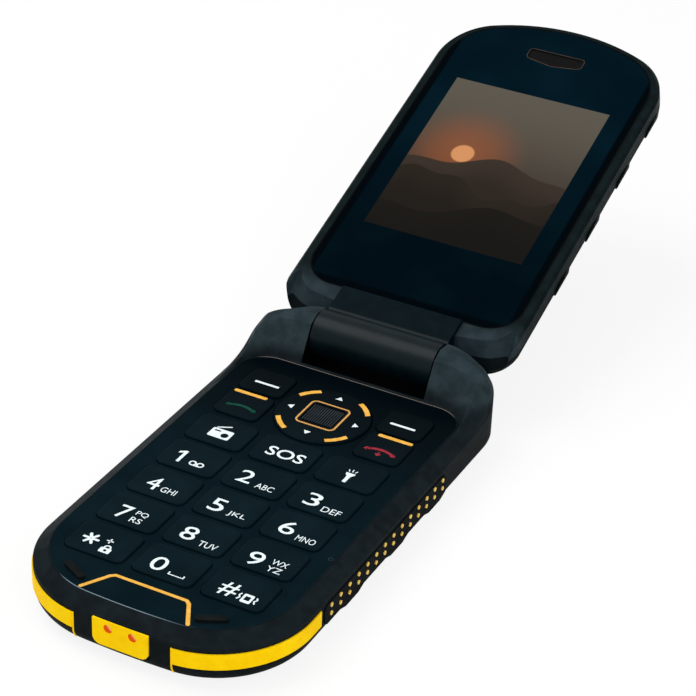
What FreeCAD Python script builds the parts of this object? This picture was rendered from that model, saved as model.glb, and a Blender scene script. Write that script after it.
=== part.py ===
import FreeCAD, Part
import math
import os
import re
import Sketcher

# Flip phone, rebuilt at real size in millimetres.
# X runs across the phone, Y from the chin towards the hinge, Z up from the flat back.
# The lid is drawn flat, with the hinge axis as its own origin, then raised by lid_rise.

os.makedirs("parts", exist_ok=True)
doc = FreeCAD.newDocument("flip_phone")
sheet = doc.addObject("Spreadsheet::Sheet", "Sizes")

SIZES = (
    # body
    ("body_half_width", 27.3),
    ("body_end", 50.9),
    ("body_rear", 52.3),
    ("end_round", 19.0),
    ("end_crown", 160.0),
    ("rear_round", 11.0),
    ("plate_height", 11.0),
    ("bezel_width", 2.85),
    ("bezel_drop", 1.9),
    ("seam_height", 8.2),
    ("back_curve_width", 8.0),
    ("back_curve_height", 4.0),
    ("wall_thickness", 1.7),
    ("cavity_floor", 6.2),
    # keypad plate
    ("plate_thickness", 1.2),
    ("plate_gap", 0.1),
    ("plate_rear", 38.3),
    ("plate_rear_round", 6.5),
    ("ledge_width", 2.0),
    # keys
    ("pad_centre", 22.95),
    ("column_pitch", 14.2),
    ("row_pitch", 10.45),
    ("first_row", 15.0),
    ("key_width", 12.4),
    ("key_length", 9.1),
    ("key_round", 1.5),
    ("key_proud", 0.45),
    ("key_edge", 0.3),
    ("key_clearance", 0.12),
    ("key_flange", 0.25),
    ("flange_thickness", 0.3),
    ("flange_play", 0.05),
    ("outer_key_width", 9.7),
    ("outer_key_centre", 15.4),
    ("soft_key_length", 8.4),
    ("soft_key_offset", 5.4),
    ("call_key_offset", 4.1),
    ("ring_radius", 9.7),
    ("ring_proud", 0.55),
    ("frame_half", 4.35),
    ("frame_line", 0.75),
    ("frame_round", 1.3),
    ("key_drop", 0.3),
    # inner stack
    ("membrane_thickness", 0.5),
    ("dome_gap", 0.15),
    ("dome_height", 0.25),
    ("dome_radius", 2.4),
    ("board_thickness", 0.8),
    ("board_half_width", 21.3),
    ("board_end", 40.0),
    ("board_rear", 36.2),
    ("shield_height", 1.1),
    # battery and back cover
    ("battery_half_width", 17.0),
    ("battery_end", 30.5),
    ("battery_rear", 24.0),
    ("battery_bottom", 1.25),
    ("battery_top", 5.45),
    ("cover_half_width", 18.9),
    ("cover_end", 34.0),
    ("cover_rear", 28.2),
    ("cover_thickness", 1.0),
    ("cover_inset", 0.1),
    ("cover_round", 4.0),
    ("cover_clearance", 0.12),
    ("pocket_clearance", 0.15),
    # hinge
    ("hinge_y", 47.2),
    ("hinge_z", 14.2),
    ("barrel_radius", 5.0),
    ("barrel_half_length", 13.6),
    ("knuckle_face", 13.9),
    ("knuckle_radius", 5.1),
    ("recess_front", 39.3),
    ("recess_floor", 8.7),
    ("hinge_bore", 3.0),
    ("running_fit", 0.04),
    ("module_reach", 7.6),
    ("module_end", 21.0),
    ("cable_radius", 1.2),
    ("cable_gap", 0.2),
    # rubber and trim
    ("grip_end", 27.1),
    ("grip_rear", 22.2),
    ("grip_top", 8.0),
    ("grip_bottom", 3.75),
    ("grip_proud", 0.25),
    ("grip_depth", 0.6),
    ("stud_radius", 0.42),
    ("stud_pitch", 3.49),
    ("stud_proud", 0.2),
    ("bumper_inner", 10.2),
    ("bumper_side_end", 28.4),
    ("bumper_top", 8.0),
    ("bumper_bottom", 4.7),
    ("bumper_depth", 0.8),
    ("contact_plate_half", 5.7),
    ("contact_plate_top", 9.05),
    ("contact_plate_bottom", 3.6),
    ("contact_radius", 0.9),
    ("contact_offset", 2.5),
    ("contact_height", 7.5),
    ("stop_pad_length", 5.8),
    ("stop_pad_width", 1.5),
    ("stop_pad_height", 0.6),
    ("stop_pad_offset", 14.0),
    ("stop_pad_end", 43.8),
    ("stop_pad_turn", 28.0),
    # screws
    ("screw_radius", 0.7),
    ("screw_head_radius", 1.3),
    ("screw_offset", 23.6),
    ("screw_end", 22.0),
    ("screw_rear", 19.0),
    ("screw_seat", 2.4),
    ("post_radius", 1.9),
    # left side key and socket
    ("side_key_centre", 28.4),
    ("side_key_length", 5.0),
    ("side_key_height", 2.6),
    ("side_key_level", 6.0),
    ("side_key_proud", 0.6),
    ("socket_centre", 0.9),
    ("socket_width", 7.8),
    ("socket_depth", 5.6),
    ("socket_height", 3.1),
    ("flap_width", 9.4),
    ("flap_gap", 0.2),
    # lid
    ("lid_rise", 20.3),
    ("lid_half_width", 26.4),
    ("lid_root", 3.0),
    ("lid_end", 99.4),
    ("lid_round", 14.0),
    ("lid_crown", 46.0),
    ("lid_root_round", 8.0),
    ("lens_level", 1.9),
    ("lid_seam", -1.0),
    ("lid_back", -6.7),
    ("lid_curve_width", 7.5),
    ("lid_curve_height", 5.4),
    ("lid_chamfer", 0.6),
    ("lid_wall", 1.5),
    ("lens_half_width", 24.2),
    ("lens_root", 11.3),
    ("lens_root_round", 7.0),
    ("lens_margin", 1.6),
    ("lens_thickness", 1.1),
    ("lens_gap", 0.1),
    ("neck_root", 13.0),
    ("neck_level", 2.8),
    ("shoulder_clearance", 0.45),
    ("pad_proud", 0.4),
    ("pad_length", 10.5),
    ("display_half_width", 18.36),
    ("display_half_length", 23.5),
    ("display_centre", 53.3),
    ("display_rim", 2.2),
    ("display_thickness", 1.3),
    ("display_play", 0.1),
    ("ear_half_width", 6.5),
    ("ear_level", 89.4),
    ("ear_length", 3.2),
    ("lid_board_thickness", 0.8),
    ("outer_lens_half_width", 13.0),
    ("outer_lens_half_length", 13.0),
    ("outer_lens_centre", 66.0),
    ("outer_lens_thickness", 0.9),
    ("camera_radius", 3.4),
    ("camera_centre", 86.0),
    ("flash_radius", 1.5),
    ("flash_offset", 8.0),
)

for row, (alias, amount) in enumerate(SIZES, start=1):
    sheet.set(f"A{row}", str(amount))
    sheet.setAlias(f"A{row}", alias)
sheet.recompute()

# A second sheet works formulas out, so that asking for a number leaves the sizes untouched.
scratch = doc.addObject("Spreadsheet::Sheet", "Scratch")
WORD = re.compile(r"\b[a-z]+(?:_[a-z]+)+\b")
known = {}


def linked(formula):
    """The same formula, as other objects have to write it."""
    return WORD.sub(lambda match: f"Sizes.{match.group(0)}", str(formula))


def value(formula):
    """Number that a formula of sheet names stands for."""
    if formula not in known:
        scratch.set("A1", f"={linked(formula)}")
        scratch.recompute()
        known[formula] = float(scratch.get("A1"))
    return known[formula]


def bind(thing, field, formula):
    thing.setExpression(field, linked(formula))


def place(thing, x="0", y="0", z="0"):
    """Put an object at a point given by formulas."""
    for axis, formula in zip("xyz", (x, y, z)):
        if str(formula) != "0":
            bind(thing, f".Placement.Base.{axis}", formula)
    return thing


def vector(x, y, z=0.0):
    return FreeCAD.Vector(x, y, z)


class Piece:
    """A PartDesign body whose sketches and features follow the sheet."""

    def __init__(self, label):
        self.body = doc.addObject("PartDesign::Body", label)
        self.body.Label = label
        self.count = 0

    def name(self, kind):
        self.count += 1
        return f"{self.body.Name}_{kind}_{self.count}"

    def sketch(self, plane="XY_Plane", offset="0"):
        sketch = self.body.newObject("Sketcher::SketchObject", self.name("sketch"))
        origin = next(f for f in self.body.Origin.OriginFeatures if f.Role == plane)
        sketch.AttachmentSupport = [(origin, "")]
        sketch.MapMode = "FlatFace"
        if str(offset) != "0":
            bind(sketch, ".AttachmentOffset.Base.z", offset)
        return sketch

    def measure(self, sketch, kind, targets, formula):
        """Add one dimension to a sketch and tie it to its formula."""
        amount = value(formula)
        if kind in ("DistanceX", "DistanceY") and abs(amount) < 1e-9:
            axis = -2 if kind == "DistanceX" else -1
            sketch.addConstraint(Sketcher.Constraint("PointOnObject", *targets, axis))
            return
        head = (-1, 1) if kind in ("DistanceX", "DistanceY") else ()
        index = sketch.addConstraint(Sketcher.Constraint(kind, *head, *targets, amount))
        bind(sketch, f"Constraints[{index}]", formula)

    def polygon(self, points, plane="XY_Plane", offset="0"):
        """Closed straight-sided profile through formula points."""
        sketch = self.sketch(plane, offset)
        spots = [vector(value(x), value(y)) for x, y in points]
        total = len(spots)
        lines = [Part.LineSegment(spots[i], spots[(i + 1) % total]) for i in range(total)]
        sketch.addGeometry(lines, False)
        for i in range(total):
            sketch.addConstraint(Sketcher.Constraint("Coincident", i, 2, (i + 1) % total, 1))
        for i, (x, y) in enumerate(points):
            self.measure(sketch, "DistanceX", (i, 1), x)
            self.measure(sketch, "DistanceY", (i, 1), y)
        return sketch

    def circle(self, radius, x="0", y="0", plane="XY_Plane", offset="0"):
        sketch = self.sketch(plane, offset)
        ring = Part.Circle(vector(value(x), value(y)), vector(0, 0, 1), value(radius))
        sketch.addGeometry(ring, False)
        self.measure(sketch, "Radius", (0,), radius)
        self.measure(sketch, "DistanceX", (0, 3), x)
        self.measure(sketch, "DistanceY", (0, 3), y)
        return sketch

    def box_sketch(self, low_x, high_x, low_y, high_y, radius=None, plane="XY_Plane", offset="0"):
        """Rectangle between formula limits, with rounded corners when a radius is given."""
        if radius is None:
            points = ((low_x, low_y), (high_x, low_y), (high_x, high_y), (low_x, high_y))
            return self.polygon(points, plane, offset)
        sketch = self.sketch(plane, offset)
        x0, x1, y0, y1 = (value(f) for f in (low_x, high_x, low_y, high_y))
        r = value(radius)
        corners = (
            (vector(x1 - r, y0 + r), -90), (vector(x1 - r, y1 - r), 0),
            (vector(x0 + r, y1 - r), 90), (vector(x0 + r, y0 + r), 180),
        )
        starts = (
            (vector(x0 + r, y0), vector(x1 - r, y0)), (vector(x1, y0 + r), vector(x1, y1 - r)),
            (vector(x1 - r, y1), vector(x0 + r, y1)), (vector(x0, y1 - r), vector(x0, y0 + r)),
        )
        for (first, last), (centre, angle) in zip(starts, corners):
            sketch.addGeometry(Part.LineSegment(first, last), False)
            circle = Part.Circle(centre, vector(0, 0, 1), r)
            turn = math.radians(angle)
            sketch.addGeometry(Part.ArcOfCircle(circle, turn, turn + math.pi / 2), False)
        for i in range(8):
            sketch.addConstraint(Sketcher.Constraint("Tangent", i, 2, (i + 1) % 8, 1))
        for line, kind in ((0, "Horizontal"), (2, "Vertical"), (4, "Horizontal"), (6, "Vertical")):
            sketch.addConstraint(Sketcher.Constraint(kind, line))
        for arc in (3, 5, 7):
            sketch.addConstraint(Sketcher.Constraint("Equal", 1, arc))
        self.measure(sketch, "Radius", (1,), radius)
        self.measure(sketch, "DistanceX", (2, 1), high_x)
        self.measure(sketch, "DistanceX", (6, 1), low_x)
        self.measure(sketch, "DistanceY", (0, 1), low_y)
        self.measure(sketch, "DistanceY", (4, 1), high_y)
        return sketch

    def outline(self, form, inset="0", offset="0"):
        """Phone outline: straight sides, a crowned end and a straight root, all with round corners."""
        sketch = self.sketch("XY_Plane", offset)
        half = f"{form['half']} - ({inset})"
        tip = f"{form['end']} - ({inset})"
        root = f"{form['root']} + ({inset}) * {form['root_inset']}"
        end_round = f"{form['end_round']} - ({inset})"
        root_round = f"{form['root_round']} - ({inset})"
        crown = f"{form['crown']} - ({inset})"
        way = form["way"]
        w, t, b = value(half), way * value(tip), way * value(root)
        re_, rr, rc = value(end_round), value(root_round), value(crown)
        crown_y = t - way * rc
        rise = math.sqrt((rc - re_) ** 2 - (w - re_) ** 2)
        corner = vector(w - re_, crown_y + way * rise)
        lean = math.atan2(way * rise, w - re_)
        touch = vector(0, crown_y) + vector(math.cos(lean), math.sin(lean)) * rc
        side_top, side_low = vector(w, corner.y), vector(w, b + way * rr)
        root_centre = vector(w - rr, b + way * rr)
        root_touch = vector(w - rr, b)

        def flip(point):
            return vector(-point.x, point.y)

        spine = (
            (None, side_low, side_top),
            (corner, side_top, touch),
            (vector(0, crown_y), touch, flip(touch)),
            (flip(corner), flip(touch), flip(side_top)),
            (None, flip(side_top), flip(side_low)),
            (flip(root_centre), flip(side_low), flip(root_touch)),
            (None, flip(root_touch), root_touch),
            (root_centre, root_touch, side_low),
        )
        # A sketch arc always runs anticlockwise, so each piece notes which end comes first.
        ends = []
        for centre, first, last in spine:
            if centre is None:
                sketch.addGeometry(Part.LineSegment(first, last), False)
                ends.append((1, 2))
                continue
            circle = Part.Circle(centre, vector(0, 0, 1), (first - centre).Length)
            begin = math.atan2(first.y - centre.y, first.x - centre.x)
            finish = math.atan2(last.y - centre.y, last.x - centre.x)
            turn = (finish - begin + math.pi) % (2 * math.pi) - math.pi
            low, high = sorted((begin, begin + turn))
            sketch.addGeometry(Part.ArcOfCircle(circle, low, high), False)
            ends.append((1, 2) if turn > 0 else (2, 1))
        for i in range(8):
            following = (i + 1) % 8
            sketch.addConstraint(
                Sketcher.Constraint("Tangent", i, ends[i][1], following, ends[following][0]))
        for line, kind in ((0, "Vertical"), (4, "Vertical"), (6, "Horizontal")):
            sketch.addConstraint(Sketcher.Constraint(kind, line))
        self.measure(sketch, "Radius", (1,), end_round)
        self.measure(sketch, "Radius", (3,), end_round)
        self.measure(sketch, "Radius", (2,), crown)
        self.measure(sketch, "Radius", (5,), root_round)
        self.measure(sketch, "Radius", (7,), root_round)
        self.measure(sketch, "DistanceX", (0, ends[0][0]), half)
        self.measure(sketch, "DistanceX", (4, ends[4][0]), f"-({half})")
        self.measure(sketch, "DistanceY", (6, 1), f"{way} * ({root})")
        sketch.addConstraint(Sketcher.Constraint("PointOnObject", 2, 3, -2))
        self.measure(sketch, "DistanceY", (2, 3), f"{way} * (({tip}) - ({crown}))")
        return sketch

    def feature(self, kind, sketch, **settings):
        feature = self.body.newObject(f"PartDesign::{kind}", self.name(kind.lower()))
        feature.Profile = sketch
        for field, content in settings.items():
            setattr(feature, field, content)
        sketch.Visibility = False
        return feature

    def pad(self, sketch, height, **settings):
        feature = self.feature("Pad", sketch, **settings)
        bind(feature, "Length", height)
        return self.settle(sketch, feature)

    def settle(self, *features):
        """Compute only the new features; everything else waits for the end."""
        for feature in features:
            feature.recompute()
        return self

    def loft(self, sketches, ruled=True):
        feature = self.feature("AdditiveLoft", sketches[0], Ruled=ruled)
        feature.Sections = sketches[1:]
        return self.settle(*sketches, feature)

    def fillet(self, radius, wanted):
        """Round the edges that the test picks."""
        base = self.body.Tip
        names = [f"Edge{i + 1}" for i, edge in enumerate(base.Shape.Edges) if wanted(edge)]
        feature = self.body.newObject("PartDesign::Fillet", self.name("fillet"))
        feature.Base = (base, names)
        bind(feature, "Radius", radius)
        return self.settle(feature)


def upright(edge):
    first, last = edge.Vertexes[0].Point, edge.Vertexes[-1].Point
    return abs(first.z - last.z) > 0.05 and math.hypot(first.x - last.x, first.y - last.y) < 1e-4


def level(height):
    """Test for edges that lie at one height."""
    def test(edge):
        return all(abs(v.Z - height) < 1e-4 for v in edge.Vertexes)
    return test


def block(label, low, high, radius=None):
    """Box between two formula corners, with upright edges rounded when asked."""
    piece = Piece(label)
    sketch = piece.box_sketch(low[0], high[0], low[1], high[1], radius, offset=low[2])
    piece.pad(sketch, f"({high[2]}) - ({low[2]})")
    return piece


def rod(label, radius, low, length, axis="z"):
    """Cylinder bound to the sheet: low is the centre of its first end."""
    cylinder = doc.addObject("Part::Cylinder", label)
    cylinder.Label = label
    turns = {
        "z": FreeCAD.Rotation(),
        "x": FreeCAD.Rotation(vector(0, 1, 0), 90),
        "y": FreeCAD.Rotation(vector(1, 0, 0), -90),
    }
    cylinder.Placement = FreeCAD.Placement(vector(0, 0, 0), turns[axis])
    bind(cylinder, "Radius", radius)
    bind(cylinder, "Height", length)
    place(cylinder, *low)
    return cylinder


def thing(item):
    return item.body if isinstance(item, Piece) else item


def group(label, items, kind="Part::MultiFuse"):
    merged = doc.addObject(kind, label)
    merged.Label = label
    merged.Shapes = [thing(item) for item in items]
    return merged


def bundle(label, items):
    """Separate solids kept as one node."""
    merged = doc.addObject("Part::Compound", label)
    merged.Label = label
    merged.Links = [thing(item) for item in items]
    return merged


def cut(label, base, tools):
    tools = list(tools)
    tool = thing(tools[0]) if len(tools) == 1 else group(f"{label}_tools", tools)
    result = doc.addObject("Part::Cut", label)
    result.Label = label
    result.Base = thing(base)
    result.Tool = tool
    return result


def shared(label, first, second):
    """The volume two shapes have in common."""
    result = doc.addObject("Part::Common", label)
    result.Label = label
    result.Base = thing(first)
    result.Tool = thing(second)
    return result


def mirrored(label, source):
    copy = doc.addObject("Part::Mirroring", label)
    copy.Label = label
    copy.Source = thing(source)
    copy.Normal = vector(1, 0, 0)
    return copy


BODY = {
    "half": "body_half_width", "end": "body_end", "root": "-body_rear", "root_inset": "1",
    "end_round": "end_round", "root_round": "rear_round", "crown": "end_crown", "way": -1,
}
PLATE = {
    "half": "body_half_width - bezel_width", "end": "body_end - bezel_width",
    "root": "-plate_rear", "root_inset": "1", "end_round": "end_round - bezel_width",
    "root_round": "plate_rear_round", "crown": "end_crown - bezel_width", "way": -1,
}
LID = {
    "half": "lid_half_width", "end": "lid_end", "root": "lid_root", "root_inset": "1",
    "end_round": "lid_round", "root_round": "lid_root_round", "crown": "lid_crown", "way": 1,
}
LENS = {
    "half": "lens_half_width", "end": "lid_end - lens_margin", "root": "lens_root",
    "root_inset": "1", "end_round": "lid_round - lens_margin",
    "root_round": "lens_root_round", "crown": "lid_crown - lens_margin", "way": 1,
}
PLATE_LOW = "plate_height - plate_thickness"
FLANGE_LOW = f"{PLATE_LOW} - flange_play - flange_thickness"
MEMBRANE_TOP = f"{FLANGE_LOW} - key_drop"
MEMBRANE_LOW = f"{MEMBRANE_TOP} - membrane_thickness"
BOARD_TOP = f"{MEMBRANE_LOW} - dome_gap - dome_height"
BOARD_LOW = f"{BOARD_TOP} - board_thickness"


def slab(label, form, low, high, inset="0"):
    """Plate with a phone outline between two levels."""
    piece = Piece(label)
    return piece.pad(piece.outline(form, inset, low), f"({high}) - ({low})")


# Shoulders: seven creases that run from the hinge gap outwards, round the rear corner and
# forward along the side. Each point is (x, y from the hinge axis, z); the first and the last
# crease are repeated at seam height to close the solid.
SHOULDER_CREASES = (
    # foot on the plate
    ((13.4, -7.5, 11.0), (16.0, -8.0, 11.0), (18.2, -8.45, 11.0), (20.3, -8.9, 11.0),
     (21.8, -9.75, 11.0), (23.1, -11.1, 11.0), (24.0, -12.8, 11.0), (24.45, -14.5, 11.0),
     (24.55, -16.2, 11.0), (24.55, -18.0, 10.99), (24.55, -19.8, 10.96), (24.55, -21.6, 10.93),
     (24.55, -23.4, 10.9)),
    # inner crease
    ((13.4, -3.8, 17.8), (16.0, -3.62, 17.73), (18.2, -3.6, 17.6), (20.3, -3.9, 17.35),
     (22.0, -4.5, 17.0), (23.4, -5.4, 16.5), (24.5, -6.2, 15.9), (25.15, -7.4, 14.4),
     (25.4, -9.2, 12.6), (25.5, -11.5, 11.6), (25.5, -14.5, 11.1), (25.5, -18.4, 10.8),
     (25.5, -23.4, 10.27)),
    # outer crease
    ((13.4, -1.2, 19.1), (16.0, -0.87, 19.0), (18.2, -0.85, 18.75), (20.3, -1.1, 18.3),
     (22.0, -1.5, 17.85), (23.4, -2.0, 17.35), (24.8, -2.4, 16.5), (25.85, -2.75, 15.1),
     (26.5, -4.0, 13.85), (26.8, -5.8, 12.6), (26.9, -8.2, 11.15), (26.9, -13.0, 9.85),
     (26.9, -23.4, 9.33)),
    # rear crease
    ((13.4, 2.4, 18.7), (16.0, 2.74, 18.17), (18.2, 2.75, 17.5), (20.3, 2.35, 16.75),
     (22.0, 1.75, 16.2), (23.4, 0.85, 15.85), (24.9, -0.5, 15.2), (26.05, -1.9, 14.1),
     (26.7, -3.5, 12.9), (27.0, -5.4, 11.6), (27.05, -8.0, 10.4), (27.1, -13.0, 9.5),
     (27.1, -23.4, 9.2)),
    # turn into the rear wall
    ((13.4, 4.3, 17.0), (16.0, 4.48, 16.43), (18.2, 4.4, 15.8), (20.3, 3.8, 15.2),
     (22.0, 2.85, 14.85), (23.4, 1.75, 14.7), (25.1, 0.3, 14.0), (26.25, -1.3, 13.0),
     (26.9, -3.2, 11.8), (27.15, -5.3, 10.6), (27.2, -8.0, 9.8), (27.2, -13.0, 9.3),
     (27.2, -23.4, 9.13)),
    # rear edge, just outside the body outline
    ((13.4, 5.25, 14.2), (16.0, 5.25, 13.9), (18.2, 5.1, 13.55), (20.3, 4.55, 13.2),
     (22.0, 3.7, 13.0), (23.6, 2.55, 12.8), (25.25, 0.8, 12.1), (26.5, -1.25, 11.2),
     (27.2, -3.3, 10.2), (27.45, -5.6, 9.5), (27.45, -8.0, 9.25), (27.45, -13.0, 9.05),
     (27.45, -23.4, 8.95)),
)


def shoulder_rows(margin):
    """Crease points from foot to rear edge, moved outwards by the margin."""
    axis_y, floor = sheet.get("hinge_y"), sheet.get("seam_height") - margin
    rows = [[vector(x, axis_y + y, z) for x, y, z in crease] for crease in SHOULDER_CREASES]
    rows.insert(0, [vector(p.x, p.y, floor) for p in rows[0]])
    rows.append([vector(p.x, p.y, floor) for p in rows[-1]])
    last = len(rows[0]) - 1

    def outward(strip, station):
        along = rows[strip][min(station + 1, last)] - rows[strip][max(station - 1, 0)]
        return along.cross(rows[strip + 1][station] - rows[strip][station]).normalize()

    moved = [[] for row in rows]
    for station in range(last + 1):
        normals = [outward(strip, station) for strip in range(len(rows) - 1)]
        pairs = zip(normals[:1] + normals, normals + normals[-1:])
        for row, (before, after), out in zip(rows, pairs, moved):
            out.append(row[station] + (before + after) * (margin / (1 + before.dot(after))))
    for row, out in zip(rows, moved):
        out[0].x = row[0].x - margin
        out[last].y = row[last].y - margin
    return moved


def shoulder_solid(label, margin=0.0):
    """Right shoulder from ruled strips; a margin makes the larger shape the lid has to clear."""
    rows = shoulder_rows(margin)
    curves = []
    for row in rows:
        curve = Part.BSplineCurve()
        curve.interpolate(Points=row, Parameters=[float(i) for i in range(len(row))])
        curves.append(curve)
    faces = [curve.makeRuledSurface(other).toShape()
             for curve, other in zip(curves, curves[1:] + curves[:1])]
    for end in (0, -1):
        corners = [row[end] for row in rows]
        faces.append(Part.Face(Part.makePolygon(corners + corners[:1])))
    skin = Part.makeShell(faces)
    skin.sewShape()
    shape = Part.makeSolid(skin)
    if shape.Volume < 0:
        shape.reverse()
    solid = doc.addObject("Part::Feature", label)
    solid.Label = label
    solid.Shape = shape
    return solid


# Front shell
front = Piece("front_rim")
front.pad(front.outline(BODY, "0", "seam_height"), "plate_height - bezel_drop - seam_height")
bezel = Piece("front_bezel")
bezel.loft([bezel.outline(BODY, "0", "plate_height - bezel_drop"),
            bezel.outline(BODY, "bezel_width", "plate_height")])
shoulder_raw = shoulder_solid("shoulder_raw")
prism = slab("body_prism", BODY, "seam_height", "plate_height + 14")
shoulder_right = shared("shoulder_right", shoulder_raw, prism)
shoulder_left = mirrored("shoulder_left", shoulder_right)
front_solid = group("front_solid", [front, bezel, shoulder_right, shoulder_left])

plate_space = slab("plate_space", PLATE, PLATE_LOW, "plate_height + 8")
keypad_opening = slab("keypad_opening", PLATE, "seam_height - 1", "plate_height", "ledge_width")
hinge_recess = block("hinge_recess", ("-knuckle_face", "recess_front", "recess_floor"),
                     ("knuckle_face", "body_rear + 2", "hinge_z + 12"))
hinge_seat = rod("hinge_seat", "hinge_bore - running_fit", ("-module_end", "hinge_y", "hinge_z"),
                 "2 * module_end", "x")
cable_way = rod("cable_way", "cable_radius + cable_gap", ("-module_end - 3", "hinge_y", "hinge_z"),
                "6", "x")


def contact_notch(label, extra):
    """Space for the contact plate on the chin."""
    return block(label, (f"-contact_plate_half - {extra}", "-body_end - 2",
                         f"contact_plate_bottom - {extra}"),
                 (f"contact_plate_half + {extra}", "-body_end + bumper_depth",
                  f"contact_plate_top + {extra}"))


def screw_spots():
    for side in ("-screw_offset", "screw_offset"):
        yield side, "-screw_end"
        yield side, "screw_rear"


def screw_rods(label, radius, low, high):
    return [rod(f"{label}_{i}", radius, (x, y, low), f"({high}) - ({low})")
            for i, (x, y) in enumerate(screw_spots())]


front_pocketed = cut("front_pocketed", front_solid, [plate_space])
front_open = cut("front_open", front_pocketed, [keypad_opening])
front_split = cut("front_split", front_open, [hinge_recess])
front_shell = cut("front_shell", front_split, [
    hinge_seat, cable_way, contact_notch("front_notch", "0"),
    *screw_rods("front_hole", "screw_radius", "seam_height - 1", f"{PLATE_LOW} - 0.4"),
])

# Back shell: its lower edge curves inwards to the flat back.
CURVE = ((0.0, 0.0), (0.5, 0.134), (0.866, 0.5), (1.0, 1.0))


def curved_slab(label, form, top, bend, width, height, grow="0"):
    """Slab whose far edge follows a quarter ellipse; grow makes it larger all round."""
    piece = Piece(label)
    piece.pad(piece.outline(form, f"-{grow}", bend), f"({top}) - ({bend})")
    sections = [piece.outline(form, f"{width} * {inward} - {grow}", f"({bend}) - {height} * {down}")
                for down, inward in CURVE]
    return piece.loft(sections, ruled=False)


back_solid = curved_slab("back_solid", BODY, "seam_height", "back_curve_height",
                         "back_curve_width", "back_curve_height")
board_space = slab("board_space", BODY, "cavity_floor", "seam_height + 1", "wall_thickness")
posts = screw_rods("post", "post_radius", "cavity_floor", "seam_height")
ribs = [rod(f"rib_{i}", "post_radius", (x, y, "cavity_floor"), f"{BOARD_LOW} - cavity_floor")
        for i, (x, y) in enumerate((("-board_half_width + 2.2", "-board_end + 4"),
                                    ("board_half_width - 2.2", "-board_end + 4"),
                                    ("-board_half_width + 2.2", "board_rear - 3"),
                                    ("board_half_width - 2.2", "board_rear - 3")))]
board_room = cut("board_room", board_space, posts + ribs)

battery_space = block("battery_space", ("-battery_half_width - pocket_clearance",
                                        "-battery_end - pocket_clearance", "-1"),
                      ("battery_half_width + pocket_clearance",
                       "battery_rear + pocket_clearance", "battery_top + pocket_clearance"), "1.5")
cover_space = block("cover_space", ("-cover_half_width - cover_clearance",
                                    "-cover_end - cover_clearance", "-1"),
                    ("cover_half_width + cover_clearance", "cover_rear + cover_clearance",
                     "cover_inset + cover_thickness + 0.03"), "cover_round + cover_clearance")
contact_slot = block("contact_slot", ("-4.4", "battery_rear - 1", "1.6"),
                     ("4.4", "battery_rear + 2.0", "cavity_floor + 0.5"))
speaker_space = block("speaker_space", ("-8.4", "30.4", "1.6"), ("8.4", "40.4", "seam_height"), "1.0")
speaker_slots = [block(f"speaker_slot_{i}", (f"{x} - 0.4", "32.4", "-1"),
                       (f"{x} + 0.4", "38.4", "2"), "0.39")
                 for i, x in enumerate((-4.8, -2.4, 0.0, 2.4, 4.8))]
motor_space = block("motor_space", ("10.2", "32.2", "1.7"), ("19.8", "37.2", "seam_height"), "0.5")
socket_space = block("socket_space", ("-body_half_width - 1",
                                      "socket_centre - socket_width / 2 - 0.1", "4.2"),
                     ("-body_half_width + 1.7 + socket_depth + 0.1",
                      "socket_centre + socket_width / 2 + 0.1", "seam_height - 0.6"))
flap_space = block("flap_space", ("-body_half_width - 1", "socket_centre - flap_width / 2 - flap_gap",
                                  "grip_bottom - 0.1"),
                   ("-body_half_width + grip_depth + 0.2",
                    "socket_centre + flap_width / 2 + flap_gap", "grip_top"))
key_space = block("side_key_space", ("-body_half_width - 1",
                                     "side_key_centre - side_key_length / 2 - key_clearance",
                                     "side_key_level - side_key_height / 2 - key_clearance"),
                  ("-body_half_width + wall_thickness + 0.1",
                   "side_key_centre + side_key_length / 2 + key_clearance",
                   "side_key_level + side_key_height / 2 + key_clearance"))
switch_space = block("switch_space", ("-body_half_width + wall_thickness",
                                      "side_key_centre - side_key_length / 2 - 0.6", "4.2"),
                     ("-board_half_width + 0.6", "side_key_centre + side_key_length / 2 + 0.6",
                      "seam_height - 0.2"))


def grip_shape(label, depth, proud):
    """Side grip with three thumb lobes below its straight part."""
    piece = Piece(label)
    bottom, top = "grip_bottom", "grip_top"
    points = [("-grip_end", f"{bottom} + 0.8"), ("-grip_end + 0.8", bottom)]
    for centre in (-16.6, 1.4, 17.4):
        for step, drop in ((-4.6, 0.0), (-2.4, 0.7), (2.4, 0.7), (4.6, 0.0)):
            points.append((f"{centre} + {step}", f"{bottom} - {drop}"))
    points += [("grip_rear", bottom), ("grip_rear", f"{top} - 0.8"), ("grip_rear - 0.8", top),
               ("-grip_end + 0.8", top), ("-grip_end", f"{top} - 0.8")]
    sketch = piece.polygon(points, "YZ_Plane", f"body_half_width - {depth}")
    piece.pad(sketch, f"{depth} + {proud}")
    return piece


def bumper_ring(label, proud):
    """Corner bumper: a band round the chin corner, flush inside and proud outside."""
    outer = slab(f"{label}_outer", BODY, "bumper_bottom", "bumper_top", f"-{proud}")
    inner = slab(f"{label}_inner", BODY, "bumper_bottom - 1", "bumper_top + 1", "bumper_depth")
    band = cut(f"{label}_band", outer, [inner])
    corner = block(f"{label}_corner", ("bumper_inner", "-body_end - 2", "bumper_bottom - 1"),
                   ("body_half_width + 2", "-bumper_side_end", "bumper_top + 1"))
    return shared(f"{label}_right", band, corner)


bumper_right = bumper_ring("bumper", "grip_proud")
bumper_left = mirrored("bumper_left", bumper_right)
corner_bumpers = bundle("corner_bumpers", [bumper_right, bumper_left])

grip_full = grip_shape("grip_full", "grip_depth", "grip_proud")
grip_left_full = mirrored("grip_left_full", grip_full)

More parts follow.
